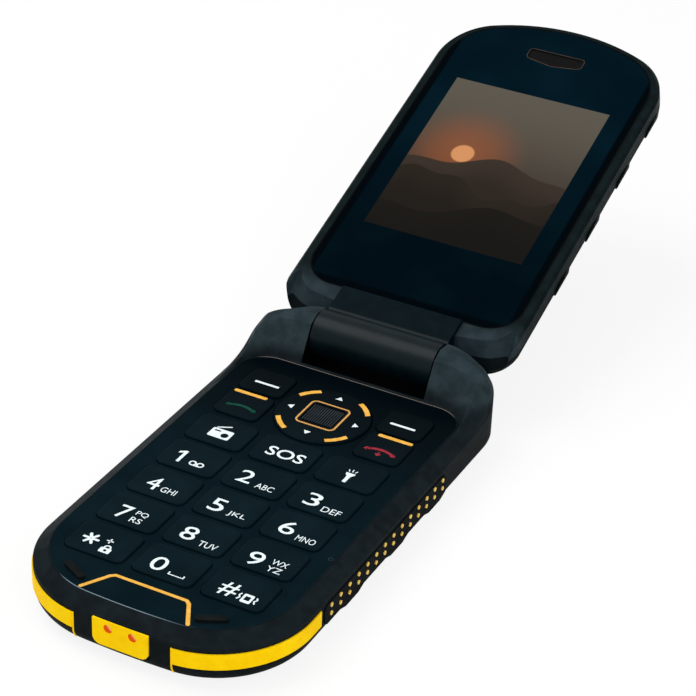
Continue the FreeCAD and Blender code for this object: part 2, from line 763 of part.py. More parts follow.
back_shell = cut("back_shell", back_solid, [
    board_room, battery_space, cover_space, contact_slot, speaker_space, *speaker_slots,
    motor_space, socket_space, flap_space, key_space, switch_space,
    contact_notch("back_notch", "0"), bumper_right, bumper_left, grip_full, grip_left_full,
    *screw_rods("back_hole", "screw_radius", "-1", "seam_height + 1"),
    *screw_rods("back_bore", "screw_head_radius + 0.1", "-1", "screw_seat"),
])

# Rubber and trim on the body
STUD_ROWS = ("plate_height - 3.7", "plate_height - 5.5")


def studs(label, side, skip):
    """Raised studs in two rows of fourteen along one grip."""
    rods = []
    for column in range(14):
        if column in skip:
            continue
        for line, height in enumerate(STUD_ROWS):
            start = "body_half_width - 0.1" if side > 0 else "-body_half_width - grip_proud - stud_proud"
            rods.append(rod(f"{label}_{column}_{line}", "stud_radius",
                            (start, f"-24.9 + {column} * stud_pitch", height),
                            "grip_proud + stud_proud + 0.1", "x"))
    return rods


right_studs = studs("stud_right", 1, ())
left_studs = studs("stud_left", -1, (5, 6, 7, 8, 9))
grip_right = cut("grip_right", grip_full, right_studs)
flap_clear = block("flap_clear", ("-body_half_width - 2",
                                  "socket_centre - flap_width / 2 - flap_gap", "2"),
                   ("-body_half_width + 2", "socket_centre + flap_width / 2 + flap_gap",
                    "grip_top + 1"))
grip_left = cut("grip_left", grip_left_full, left_studs + [flap_clear])


def stop_pad(label, side):
    """Low rubber pad on the plate, round at both ends and turned to follow the corner."""
    pad = block(label, ("-stop_pad_length / 2", "-stop_pad_width / 2", "0"),
                ("stop_pad_length / 2", "stop_pad_width / 2", "stop_pad_height"),
                "stop_pad_width / 2 - 0.02")
    turned = bundle(f"{label}_turned", [pad])
    turned.Placement = FreeCAD.Placement(vector(0, 0, 0), FreeCAD.Rotation(vector(0, 0, 1), side))
    bind(turned, ".Placement.Rotation.Angle", f"{side} * stop_pad_turn")
    return place(turned, f"{side} * stop_pad_offset", "-stop_pad_end", "plate_height")


side_grips = bundle("side_grips", [grip_right, grip_left, stop_pad("pad_right", 1),
                                   stop_pad("pad_left", -1)])
grip_studs = bundle("grip_studs", right_studs + left_studs)

contact_blank = block("contact_blank", ("-contact_plate_half", "-body_end - grip_proud",
                                        "contact_plate_bottom"),
                      ("contact_plate_half", "-body_end + bumper_depth", "contact_plate_top"))
contact_blank.fillet("1.6", lambda e: all(v.Z < 4 for v in e.Vertexes)
                     and abs(e.Vertexes[0].Y - e.Vertexes[-1].Y) > 0.5)
contact_rods = [rod(f"contact_{i}", "contact_radius", (x, "-body_end - grip_proud + 0.15",
                                                       "contact_height"),
                    "grip_proud + bumper_depth - 0.15", "y")
                for i, x in enumerate(("-contact_offset", "contact_offset"))]
contact_wells = [rod(f"contact_well_{i}", "contact_radius", (x, "-body_end - 2", "contact_height"),
                     "4", "y") for i, x in enumerate(("-contact_offset", "contact_offset"))]
contact_plate = cut("contact_plate", contact_blank, contact_wells)


# Keypad plate and keys
NAV = ("0", "pad_centre")
KEYS = {
    "soft_left": ("-outer_key_centre", "pad_centre + soft_key_offset", "outer_key_width",
                  "soft_key_length"),
    "soft_right": ("outer_key_centre", "pad_centre + soft_key_offset", "outer_key_width",
                   "soft_key_length"),
    "call_key": ("-outer_key_centre", "pad_centre - call_key_offset", "outer_key_width",
                 "key_length"),
    "end_key": ("outer_key_centre", "pad_centre - call_key_offset", "outer_key_width",
                "key_length"),
}
ROWS = (("radio_key", "sos_key", "torch_key"), ("key_1", "key_2", "key_3"),
        ("key_4", "key_5", "key_6"), ("key_7", "key_8", "key_9"),
        ("key_star", "key_0", "key_hash"))
for line, labels in enumerate(ROWS):
    for column, label in zip((-1, 0, 1), labels):
        KEYS[label] = (f"{column} * column_pitch", f"pad_centre - first_row - {line} * row_pitch",
                       "key_width", "key_length")


def key(label, x, y, width, length):
    """Key cap with a flange that hides under the plate."""
    piece = Piece(label)
    over = "key_flange"
    flange = piece.box_sketch(f"-({width}) / 2 - {over}", f"({width}) / 2 + {over}",
                              f"-({length}) / 2 - {over}", f"({length}) / 2 + {over}",
                              "key_round", offset=FLANGE_LOW)
    piece.pad(flange, "flange_thickness")
    cap = piece.box_sketch(f"-({width}) / 2", f"({width}) / 2", f"-({length}) / 2",
                           f"({length}) / 2", "key_round", offset=f"{PLATE_LOW} - flange_play")
    piece.pad(cap, "plate_thickness + flange_play + key_proud")
    piece.fillet("key_edge", level(value("plate_height + key_proud")))
    return place(piece.body, x, y)


key_bodies = [key(label, *spot) for label, spot in KEYS.items()]
key_holes = []
for label, (x, y, width, length) in KEYS.items():
    hole = block(f"hole_{label}", (f"-({width}) / 2 - key_clearance",
                                   f"-({length}) / 2 - key_clearance", "seam_height"),
                 (f"({width}) / 2 + key_clearance", f"({length}) / 2 + key_clearance",
                  "plate_height + 1"), "key_round + key_clearance")
    key_holes.append(place(hole.body, x, y))
ring_hole = rod("ring_hole", "ring_radius + key_clearance", (*NAV, "seam_height"), "5")
plate_blank = slab("plate_blank", PLATE, PLATE_LOW, "plate_height", "plate_gap")
keypad_plate = cut("keypad_plate", plate_blank, [*key_holes, ring_hole])

# Four-way ring, its gimbal, the square trim round the centre key and the centre key
RING_TOP = "plate_height + ring_proud"
ring = Piece("ring_blank")
ring.pad(ring.circle("ring_radius", offset=FLANGE_LOW), f"({RING_TOP}) - ({FLANGE_LOW})")
ring.fillet("0.4", level(value(RING_TOP)))
place(ring.body, *NAV)
HOLE_HALF = "frame_half - frame_line"
centre_hole = block("centre_hole", (f"-({HOLE_HALF})", f"-({HOLE_HALF})", "seam_height"),
                    (HOLE_HALF, HOLE_HALF, "plate_height + 3"), "frame_round - 0.4")
frame_seat = block("frame_seat", ("-frame_half", "-frame_half", f"{RING_TOP} - 0.3"),
                   ("frame_half", "frame_half", "plate_height + 3"), "frame_round")
frame_blank = block("frame_blank", ("-frame_half", "-frame_half", f"{RING_TOP} - 0.3"),
                    ("frame_half", "frame_half", f"{RING_TOP} + 0.05"), "frame_round")
for item in (centre_hole, frame_seat, frame_blank):
    place(item.body, *NAV)
nav_ring = cut("nav_ring", ring, [centre_hole, frame_seat])
nav_frame = cut("nav_frame", frame_blank, [centre_hole])
GIMBAL_LOW = f"{FLANGE_LOW} - 0.45"
gimbal_outer = rod("gimbal_outer", "5.9", (*NAV, GIMBAL_LOW), "0.3")
gimbal_inner = rod("gimbal_inner", "5.3", (*NAV, f"{GIMBAL_LOW} - 1"), "3")
nav_gimbal = cut("nav_gimbal", gimbal_outer, [gimbal_inner])

centre_key = Piece("ok_key")
lugs = centre_key.box_sketch("-frame_half + 0.4", "frame_half - 0.4", "-1.5", "1.5", "0.5",
                             offset=f"{FLANGE_LOW} - 0.35")
centre_key.pad(lugs, "0.2")
stem = centre_key.box_sketch("-frame_half + 1.4", "frame_half - 1.4", "-1.5", "1.5",
                             "0.5", offset=f"{FLANGE_LOW} - 0.15")
centre_key.pad(stem, "0.2")
centre = f"{HOLE_HALF} - key_clearance + 0.02"
body_sketch = centre_key.box_sketch(f"-({centre})", centre, f"-({centre})", centre,
                                    "frame_round - 0.5", offset=FLANGE_LOW)
centre_key.pad(body_sketch, f"({RING_TOP}) - ({FLANGE_LOW}) - 0.35")
for number in range(5):
    rib_y = f"({number} - 2) * 1.35"
    rib = centre_key.box_sketch("-frame_half + 1.5", "frame_half - 1.5", f"{rib_y} - 0.36",
                                f"{rib_y} + 0.36", "0.3", offset=f"{RING_TOP} - 0.35")
    centre_key.pad(rib, "0.35")
ok_key = place(centre_key.body, *NAV)

# Membrane, domes and main board
membrane_blank = slab("membrane_blank", PLATE, MEMBRANE_LOW, MEMBRANE_TOP, "ledge_width + 0.3")
nav_dip = rod("nav_dip", "6.3", (*NAV, f"{MEMBRANE_TOP} - 0.3"), "2")
key_membrane = cut("key_membrane", membrane_blank, [nav_dip])
dome_spots = [spot[:2] for spot in KEYS.values()]
dome_spots += [("0", "pad_centre"), ("6.9", "pad_centre"), ("-6.9", "pad_centre"),
               ("0", "pad_centre + 6.9"), ("0", "pad_centre - 6.9")]
key_domes = bundle("key_domes", [
    rod(f"dome_{i}", "dome_radius", (x, y, BOARD_TOP), "dome_height")
    for i, (x, y) in enumerate(dome_spots)])
board_blank = block("board_blank", ("-board_half_width", "-board_end", BOARD_LOW),
                    ("board_half_width", "board_rear", BOARD_TOP), "6")
main_board = board_blank
main_board.body.Label = "main_board"


def can(label, low, high):
    """Folded metal can hanging under the main board."""
    bottom = f"{BOARD_LOW} - shield_height"
    shell = block(f"{label}_shell", (*low, bottom), (*high, BOARD_LOW))
    hollow = block(f"{label}_hollow", (f"{low[0]} + 0.2", f"{low[1]} + 0.2", f"{bottom} + 0.2"),
                   (f"{high[0]} - 0.2", f"{high[1]} - 0.2", f"{BOARD_LOW} + 1"))
    return cut(label, shell, [hollow])


def hung(label, low, high, depth):
    """Small part fixed to the underside of the main board."""
    return block(label, (*low, f"{BOARD_LOW} - {depth}"), (*high, BOARD_LOW))


board_cans = bundle("board_cans", [
    can("can_a", ("-16", "-28"), ("5", "-6")), can("can_b", ("-12", "2"), ("14", "20")),
    hung("sim_reader", ("7", "-26"), ("20", "-10"), "1.1"),
    hung("microphone", ("9", "-37.6"), ("12", "-34"), "1.0")])
antenna = block("antenna", ("-16.5", "-46.2", "cavity_floor"), ("16.5", "-40.6", "cavity_floor + 1.1"))
battery = block("battery", ("-battery_half_width", "-battery_end", "battery_bottom"),
                ("battery_half_width", "battery_rear", "battery_top"), "1.4")
contact_blades = [
    block(f"blade_{i}", (f"{x} - 0.6", "battery_rear + 0.05", "2.2"),
          (f"{x} + 0.6", "battery_rear + 1.8", BOARD_LOW))
    for i, x in enumerate((-3.0, 0.0, 3.0))]
power_contacts = bundle("power_contacts", contact_rods + contact_blades)
speaker = block("speaker", ("-8.2", "30.6", "1.6"), ("8.2", "40.2", "5.2"), "0.9")
speaker_antenna = bundle("speaker_antenna", [speaker, antenna])
vibration_motor = rod("vibration_motor", "2.2", ("10.6", "34.7", "3.9"), "8.8", "x")
usb_connector = block("usb_connector", ("-body_half_width + 1.7",
                                        "socket_centre - socket_width / 2",
                                        f"{BOARD_LOW} - socket_height"),
                      ("-body_half_width + 1.7 + socket_depth", "socket_centre + socket_width / 2",
                       BOARD_LOW))
mouth = block("usb_mouth", ("-body_half_width", "socket_centre - socket_width / 2 + 0.5",
                            f"{BOARD_LOW} - socket_height + 0.5"),
              ("-body_half_width + 5.6", "socket_centre + socket_width / 2 - 0.5",
               f"{BOARD_LOW} - 0.5"))
usb_socket = cut("usb_socket", usb_connector, [mouth])
side_switch = hung("side_switch", ("-body_half_width + 2.9", "side_key_centre - 1.7"),
                   ("-board_half_width + 0.6", "side_key_centre + 1.7"), "2.6")
side_connectors = bundle("side_connectors", [usb_socket, side_switch])

usb_cover = block("usb_cover", ("-body_half_width - grip_proud", "socket_centre - flap_width / 2",
                                "grip_bottom + 0.1"),
                  ("-body_half_width + grip_depth", "socket_centre + flap_width / 2",
                   "grip_top - flap_gap"))
usb_cover.fillet("0.35", lambda e: all(v.Z < 4 for v in e.Vertexes)
                 and abs(e.Vertexes[0].Y - e.Vertexes[-1].Y) > 3)

side_key = Piece("side_key")
side_cap = side_key.box_sketch("side_key_centre - side_key_length / 2",
                               "side_key_centre + side_key_length / 2",
                               "side_key_level - side_key_height / 2",
                               "side_key_level + side_key_height / 2", "0.8", "YZ_Plane",
                               "-body_half_width - side_key_proud")
side_key.pad(side_cap, "side_key_proud + wall_thickness + 0.05")
side_lip = side_key.box_sketch("side_key_centre - side_key_length / 2 - 0.4",
                               "side_key_centre + side_key_length / 2 + 0.4",
                               "side_key_level - side_key_height / 2 - 0.4",
                               "side_key_level + side_key_height / 2 + 0.4", "0.8", "YZ_Plane",
                               "-body_half_width + wall_thickness + 0.05")
side_key.pad(side_lip, "0.4")

back_cover = block("back_cover", ("-cover_half_width", "-cover_end", "cover_inset"),
                   ("cover_half_width", "cover_rear", "cover_inset + cover_thickness"),
                   "cover_round")


def screws(label, spots, seat, tip, head_down):
    """Pan-head screws as separate solids of one node."""
    solids = []
    for i, (x, y) in enumerate(spots):
        shaft = rod(f"{label}_shaft_{i}", "screw_radius", (x, y, f"{seat} - 0.1"),
                    f"({tip}) - ({seat}) + 0.1")
        head = rod(f"{label}_head_{i}", "screw_head_radius", (x, y, f"{seat} - {head_down}"),
                   head_down)
        slot = block(f"{label}_slot_{i}", ("-0.9", "-0.2", f"{seat} - {head_down} - 1"),
                     ("0.9", "0.2", f"{seat} - {head_down} + 0.35"))
        place(slot.body, x, y)
        whole = group(f"{label}_whole_{i}", [shaft, head])
        solids.append(cut(f"{label}_{i}", whole, [slot]))
    return bundle(label, solids)


casing_screws = screws("casing_screws", list(screw_spots()), "screw_seat", f"{PLATE_LOW} - 0.5",
                       "0.9")

# Hinge: bush and cable on the left, spring module on the right
bush_outer = rod("bush_outer", "hinge_bore - running_fit", ("-module_end", "hinge_y", "hinge_z"),
                 "module_end - module_reach", "x")
bush_inner = rod("bush_inner", "cable_radius + cable_gap", ("-module_end - 1", "hinge_y", "hinge_z"),
                 "module_end", "x")
hinge_bush = cut("hinge_bush", bush_outer, [bush_inner])
hinge_module = rod("hinge_module", "hinge_bore - running_fit", ("module_reach", "hinge_y", "hinge_z"),
                   "module_end - module_reach", "x")
hinge_cable = rod("hinge_cable", "cable_radius", ("-module_end - 2.5", "hinge_y", "hinge_z"),
                  "module_end - 2.5", "x")

# Lid: drawn flat about the hinge axis, then raised.


def raise_lid(item):
    """Move a lid part from the drawing position to the open lid."""
    body = thing(item)
    if body.TypeId == "Part::Cylinder":
        label = body.Label
        body.Label = f"{label}_flat"
        body = bundle(label, [body])
    body.Placement = FreeCAD.Placement(vector(0, 0, 0),
                                       FreeCAD.Rotation(vector(1, 0, 0), sheet.get("lid_rise")))
    bind(body, ".Placement.Rotation.Angle", "lid_rise")
    return place(body, "0", "hinge_y", "hinge_z")


frame_rim = slab("lid_rim", LID, "lid_seam", "lens_level - lid_chamfer")
frame_edge = Piece("lid_edge")
frame_edge.loft([frame_edge.outline(LID, "0", "lens_level - lid_chamfer"),
                 frame_edge.outline(LID, "lid_chamfer", "lens_level")])
barrel = rod("barrel", "barrel_radius", ("-barrel_half_length", "0", "0"),
             "2 * barrel_half_length", "x")
neck = Piece("neck")
neck_sketch = neck.polygon([("0", "lid_seam"), ("lens_root", "lid_seam"),
                            ("lens_root", "neck_level - 0.3"), ("lens_root - 0.3", "neck_level"),
                            ("0", "neck_level")], "YZ_Plane", "-barrel_half_length")
neck.pad(neck_sketch, "2 * barrel_half_length")

lens_space = slab("lens_space", LENS, "lens_level - lens_thickness", "lens_level + 4")
barrel_bore = rod("barrel_bore", "hinge_bore", ("-barrel_half_length - 1", "0", "0"),
                  "2 * barrel_half_length + 2", "x")
DISPLAY_LOW = "display_centre - display_half_length - display_rim"
DISPLAY_HIGH = "display_centre + display_half_length + display_rim"
display_space = block("display_space", ("-display_half_width - display_rim - display_play",
                                        f"{DISPLAY_LOW} - display_play", "lid_seam - 1"),
                      ("display_half_width + display_rim + display_play",
                       f"{DISPLAY_HIGH} + display_play", "lens_level"), "1.0")
ear_space = block("ear_space", ("-5.7", "ear_level - 2.7", "lid_seam - 1"),
                  ("5.7", "ear_level + 2.7", "lens_level"), "1.0")


def relief(label, angle):
    """The enlarged shoulder as the lid meets it when it stands at the given angle."""
    turned = doc.addObject("Part::Compound", label)
    turned.Links = [shoulder_swept]
    turned.Placement = FreeCAD.Placement(vector(0, 0, 0), FreeCAD.Rotation(vector(-1, 0, 0), angle),
                                         vector(0, 0, 0))
    return turned


shoulder_swept = shoulder_solid("shoulder_swept", sheet.get("shoulder_clearance"))
shoulder_swept.Placement.Base = vector(0, -sheet.get("hinge_y"), -sheet.get("hinge_z"))
relief_closed = relief("relief_closed", 180)
relief_open = relief("relief_open", sheet.get("lid_rise"))
relief_round = rod("relief_round", "barrel_radius + 0.75", ("barrel_half_length + 0.03", "0", "0"),
                   "lid_half_width", "x")
barrel_room = rod("barrel_room", "barrel_radius + 0.08", ("-barrel_half_length - 0.1", "0", "0"),
                  "2 * barrel_half_length + 0.2", "x")
right_reliefs = [relief_closed, relief_open, relief_round]
lid_reliefs = right_reliefs + [mirrored(f"{item.Name}_left", item) for item in right_reliefs]
lid_screw_spots = [(x, y) for x in ("-22.2", "22.2") for y in ("26", "84")]
lid_holes = []
for i, (x, y) in enumerate(lid_screw_spots):
    lid_holes.append(rod(f"lid_hole_{i}", "screw_radius", (x, y, "lid_back"), "9"))
    lid_holes.append(rod(f"lid_bore_{i}", "screw_head_radius + 0.1",
                         (x, y, "lens_level - lens_thickness - 0.9"), "3"))
frame_scooped = cut("lid_frame_scooped", group("lid_frame_sheet", [frame_rim, frame_edge]),
                    lid_reliefs)
frame_solid = group("lid_frame_solid", [frame_scooped, barrel, neck])
lid_frame = raise_lid(cut("lid_frame", frame_solid, [
    lens_space, barrel_bore, display_space, ear_space, *lid_holes]))

SHELL = (LID, "lid_seam", "lid_back + lid_curve_height", "lid_curve_width", "lid_curve_height")
shell_full = curved_slab("lid_shell_full", *SHELL)
shell_solid = cut("lid_shell_solid", shell_full, [*lid_reliefs, barrel_room])
shell_space = slab("lid_shell_space", LID, "lid_back + lid_wall", "lid_seam + 1", "lid_wall + 2.5")
lid_posts = [rod(f"lid_post_{i}", "post_radius", (x, y, "lid_back + 0.8"), "lid_seam - lid_back - 0.8")
             for i, (x, y) in enumerate(lid_screw_spots)]
shell_room = cut("lid_shell_room", shell_space, lid_posts)
outer_lens_space = block("outer_lens_space", ("-outer_lens_half_width",
                                              "outer_lens_centre - outer_lens_half_length",
                                              "lid_back - 2"),
                         ("outer_lens_half_width", "outer_lens_centre + outer_lens_half_length",
                          "lid_back + outer_lens_thickness"), "3")
outer_window = block("outer_window", ("-outer_lens_half_width + 1.4",
                                      "outer_lens_centre - outer_lens_half_length + 1.4",
                                      "lid_back - 1"),
                     ("outer_lens_half_width - 1.4",
                      "outer_lens_centre + outer_lens_half_length - 1.4",
                      "lid_back + lid_wall + 1"), "1.6")
camera_hole = rod("camera_hole", "camera_radius", ("0", "camera_centre", "lid_back - 1"), "5")
flash_hole = rod("flash_hole", "flash_radius", ("flash_offset", "camera_centre", "lid_back - 1"), "5")


def lid_side_pad(label, foot):
    """Low lobe on the right flank of the lid: a step at its foot, fading out upwards."""
    piece = Piece(label)
    sketch = piece.polygon([
        ("lid_half_width - 2.1", foot), ("lid_half_width + pad_proud - 0.1", foot),
        ("lid_half_width + pad_proud", f"{foot} + 0.4"),
        ("lid_half_width + pad_proud", f"{foot} + 0.25 * pad_length"),
        ("lid_half_width", f"{foot} + 0.6 * pad_length"),
        ("lid_half_width - 1.1", f"{foot} + pad_length"),
        ("lid_half_width - 2.1", f"{foot} + pad_length")], "XY_Plane", "lid_back + 3.4")
    piece.pad(sketch, "lid_seam - lid_back - 3.9")
    return piece


pad_skin = curved_slab("pad_skin", *SHELL, grow="pad_proud")
pad_ribs = bundle("pad_ribs", [lid_side_pad(f"lid_pad_{i}", v)
                               for i, v in enumerate((28.5, 44.7, 61.2, 77.6))])
pads_right = shared("pads_right", pad_ribs, pad_skin)
lid_pads = [pads_right, mirrored("pads_left", pads_right)]
screw_pilots = [rod(f"lid_pilot_{i}", "screw_radius", (x, y, "lid_back + 1.8"), "9")
                for i, (x, y) in enumerate(lid_screw_spots)]
lid_shell = raise_lid(cut("lid_shell", shell_solid, [
    shell_room, outer_lens_space, outer_window, camera_hole, flash_hole, *screw_pilots,
    *lid_pads]))
lid_grips = raise_lid(bundle("lid_grips", lid_pads))



def ear_shape(label, low, high, inset="0"):
    """Earpiece opening: straight along the top, a shallow V along the bottom."""
    piece = Piece(label)
    sketch = piece.polygon([
        ("0", f"ear_level - ear_length / 2 - 1.0 + {inset}"),
        (f"ear_half_width - 0.5 - {inset}", f"ear_level - ear_length / 2 + {inset}"),
        (f"ear_half_width + 0.1 - {inset}", f"ear_level - ear_length / 2 + 0.7 + {inset}"),
        (f"ear_half_width + 0.1 - {inset}", f"ear_level + ear_length / 2 - 0.6 - {inset}"),
        (f"ear_half_width - 0.4 - {inset}", f"ear_level + ear_length / 2 - {inset}"),
        (f"0.4 - ear_half_width + {inset}", f"ear_level + ear_length / 2 - {inset}"),
        (f"-0.1 - ear_half_width + {inset}", f"ear_level + ear_length / 2 - 0.6 - {inset}"),
        (f"-0.1 - ear_half_width + {inset}", f"ear_level - ear_length / 2 + 0.7 + {inset}"),
        (f"0.5 - ear_half_width + {inset}", f"ear_level - ear_length / 2 + {inset}")], offset=low)
    return piece.pad(sketch, f"({high}) - ({low})")


ear_slot = ear_shape("ear_slot", "lens_level - 3", "lens_level + 1")
lens_blank = slab("lens_blank", LENS, "lens_level - lens_thickness", "lens_level", "lens_gap")
lens_plate = raise_lid(cut("lens_plate", lens_blank, [ear_slot]))
earpiece_mesh = raise_lid(ear_shape("earpiece_mesh", "lens_level - lens_thickness",
                                    "lens_level - 0.35", "0.02"))
LENS_LOW = "lens_level - lens_thickness"
earpiece = raise_lid(block("earpiece", ("-5.5", "ear_level - 2.5", f"{LENS_LOW} - 2.1"),
                           ("5.5", "ear_level + 2.5", f"{LENS_LOW} - 0.05"), "1.0"))
inner_display = block("inner_display", (
    "-display_half_width - display_rim", DISPLAY_LOW, f"{LENS_LOW} - display_thickness - 0.05"),
    ("display_half_width + display_rim", DISPLAY_HIGH, f"{LENS_LOW} - 0.05"), "0.9")
lid_board = raise_lid(block("lid_board", ("-20.1", "22", "lid_seam - 0.05 - lid_board_thickness"),
                            ("20.1", "81.6", "lid_seam - 0.05"), "2"))
outer_window_glass = block("outer_window_glass", (
    "-outer_lens_half_width + 0.08", "outer_lens_centre - outer_lens_half_length + 0.08",
    "lid_back"),
    ("outer_lens_half_width - 0.08", "outer_lens_centre + outer_lens_half_length - 0.08",
     "lid_back + outer_lens_thickness"), "2.92")
camera_window = rod("camera_window", "camera_radius", ("0", "camera_centre", "lid_back - 0.15"), "0.9")
outer_lens = raise_lid(bundle("outer_lens", [outer_window_glass, camera_window]))
outer_display = block("outer_display", (
    "-outer_lens_half_width + 1.5", "outer_lens_centre - outer_lens_half_length + 1.5",
    "lid_back + outer_lens_thickness + 0.02"),
    ("outer_lens_half_width - 1.5", "outer_lens_centre + outer_lens_half_length - 1.5",
     "lid_back + outer_lens_thickness + 1.5"), "1.5")
lid_displays = raise_lid(bundle("lid_displays", [inner_display, outer_display]))
camera = raise_lid(rod("camera", "camera_radius", ("0", "camera_centre", "lid_back + 0.75"), "3.0"))
flash_light = raise_lid(rod("flash_light", "flash_radius", ("flash_offset", "camera_centre",
                                                            "lid_back"), "2.0"))
lid_magnet = raise_lid(block("lid_magnet", ("12", "86.4", "lid_seam - 1.25"),
                             ("18", "89.4", "lid_seam - 0.05")))
hinge_cam = raise_lid(rod("hinge_cam", "hinge_bore", ("module_reach - 2.05", "0", "0"), "2.0", "x"))


def lid_screw(i, spot):
    x, y = spot
    shaft = rod(f"lid_screw_shaft_{i}", "screw_radius", (x, y, "lid_back + 2.0"),
                "lens_level - lens_thickness - 0.8 - lid_back - 2.0")
    head = rod(f"lid_screw_head_{i}", "screw_head_radius",
               (x, y, "lens_level - lens_thickness - 0.9"), "0.8")
    return group(f"lid_screw_{i}", [shaft, head])


lid_screws = raise_lid(bundle("lid_screws", [lid_screw(i, spot)
                                             for i, spot in enumerate(lid_screw_spots)]))

NODES = {
    "front_shell": front_shell, "back_shell": back_shell, "keypad_plate": keypad_plate,
    "key_membrane": key_membrane, "key_domes": key_domes, "main_board": main_board,
    "board_cans": board_cans, "battery": battery, "power_contacts": power_contacts,
    "speaker_antenna": speaker_antenna, "vibration_motor": vibration_motor,
    "side_connectors": side_connectors, "casing_screws": casing_screws,
    "hinge_bush": hinge_bush, "hinge_module": hinge_module, "hinge_cable": hinge_cable,
    "corner_bumpers": corner_bumpers, "contact_plate": contact_plate, "side_grips": side_grips,
    "grip_studs": grip_studs, "nav_gimbal": nav_gimbal, "nav_ring": nav_ring,
    "nav_frame": nav_frame, "ok_key": ok_key, "side_key": side_key, "usb_cover": usb_cover,
    "back_cover": back_cover, "lid_frame": lid_frame, "lid_shell": lid_shell,
    "lid_grips": lid_grips, "lens_plate": lens_plate, "earpiece_mesh": earpiece_mesh,
    "earpiece": earpiece, "lid_displays": lid_displays, "lid_board": lid_board,
    "outer_lens": outer_lens, "camera": camera, "flash_light": flash_light,
    "lid_magnet": lid_magnet, "hinge_cam": hinge_cam, "lid_screws": lid_screws,
}
for body in key_bodies:
    NODES[body.Label] = body

doc.recompute()
for item in doc.Objects:
    if "Invalid" in item.State or "Error" in item.State:
        raise RuntimeError(f"{item.Name} did not compute: {item.State}")
for label, item in NODES.items():
    shape = thing(item).Shape
    if shape.isNull() or not shape.isValid() or not shape.Solids:
        raise RuntimeError(f"{label} has no valid solid")
    shape.exportStep(f"parts/{label}.step")
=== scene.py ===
import math

import bmesh
import bpy
from mathutils import Matrix, Vector


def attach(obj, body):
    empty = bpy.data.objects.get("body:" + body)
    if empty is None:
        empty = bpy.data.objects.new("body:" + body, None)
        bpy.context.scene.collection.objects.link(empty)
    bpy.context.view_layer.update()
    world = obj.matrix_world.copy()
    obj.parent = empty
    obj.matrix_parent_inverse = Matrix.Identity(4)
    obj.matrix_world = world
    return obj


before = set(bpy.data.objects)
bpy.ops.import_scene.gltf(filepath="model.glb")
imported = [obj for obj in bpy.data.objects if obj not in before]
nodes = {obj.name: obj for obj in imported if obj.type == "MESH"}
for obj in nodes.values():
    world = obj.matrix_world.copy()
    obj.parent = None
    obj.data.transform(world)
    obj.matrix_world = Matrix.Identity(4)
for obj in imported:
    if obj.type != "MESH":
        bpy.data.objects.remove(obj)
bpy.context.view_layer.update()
scene = bpy.context.scene
MM = 0.001

# Sizes shared with the CAD model, in millimetres
KEY_TOP = 11.45
RING_TOP = 11.55
PLATE_TOP = 11.0
PAD_CENTRE = 22.95
HINGE = Vector((0.0, 47.2, 14.2))
LID_RISE = math.radians(20.3)
LENS_LEVEL = 1.9
LID_BACK = -6.7
SCREEN_CENTRE = 53.3
SCREEN_HALF_WIDTH = 18.36
SCREEN_HALF_HEIGHT = 23.5
EAR_LEVEL = 89.4
CAMERA_LEVEL = 86.0
NECK_HALF = 13.65
CONTACT_OFFSET = 2.5
CONTACT_LEVEL = 7.5
FRAME_CORNER = 3.05
ROW_PITCH = 10.45
JOINT_LINE = 10.05
MICROPHONE = (23.4, -17.6)

PAD_PLACE = Matrix.Translation((0.0, PAD_CENTRE, 0.0))
LID_PLACE = Matrix.Translation(HINGE) @ Matrix.Rotation(LID_RISE, 4, "X")


def add_node(tree, kind, settings, inputs):
    """Add a node: settings first, then each input from a constant or from another node's socket."""
    made = tree.nodes.new(kind)
    for field, content in settings.items():
        setattr(made, field, content)
    for key, content in inputs.items():
        if isinstance(content, bpy.types.NodeSocket):
            tree.links.new(content, made.inputs[key])
        else:
            made.inputs[key].default_value = content
    return made


class Value:
    """A socket of a material, so that shader maths reads as Python."""

    def __init__(self, finish, socket):
        self.finish = finish
        self.socket = socket

    def math(self, operation, *others, swap=False):
        terms = [self, *others]
        if swap:
            terms.reverse()
        return self.finish.node("ShaderNodeMath", {"operation": operation}, dict(enumerate(terms)))

    def __add__(self, other):
        return self.math("ADD", other)

    def __sub__(self, other):
        return self.math("SUBTRACT", other)

    def __rsub__(self, other):
        return self.math("SUBTRACT", other, swap=True)

    def __mul__(self, other):
        return self.math("MULTIPLY", other)

    def __truediv__(self, other):
        return self.math("DIVIDE", other)

    def __gt__(self, other):
        return self.math("GREATER_THAN", other)

    def __lt__(self, other):
        return self.math("LESS_THAN", other)

    def size(self):
        return self.math("ABSOLUTE")

    def wave(self):
        return self.math("SINE")

    def smooth(self, low, high):
        """0 below low, 1 above high, with a soft step between."""
        return self.finish.node("ShaderNodeMapRange", {"interpolation_type": "SMOOTHSTEP"},
                                {"Value": self, "From Min": low, "From Max": high})


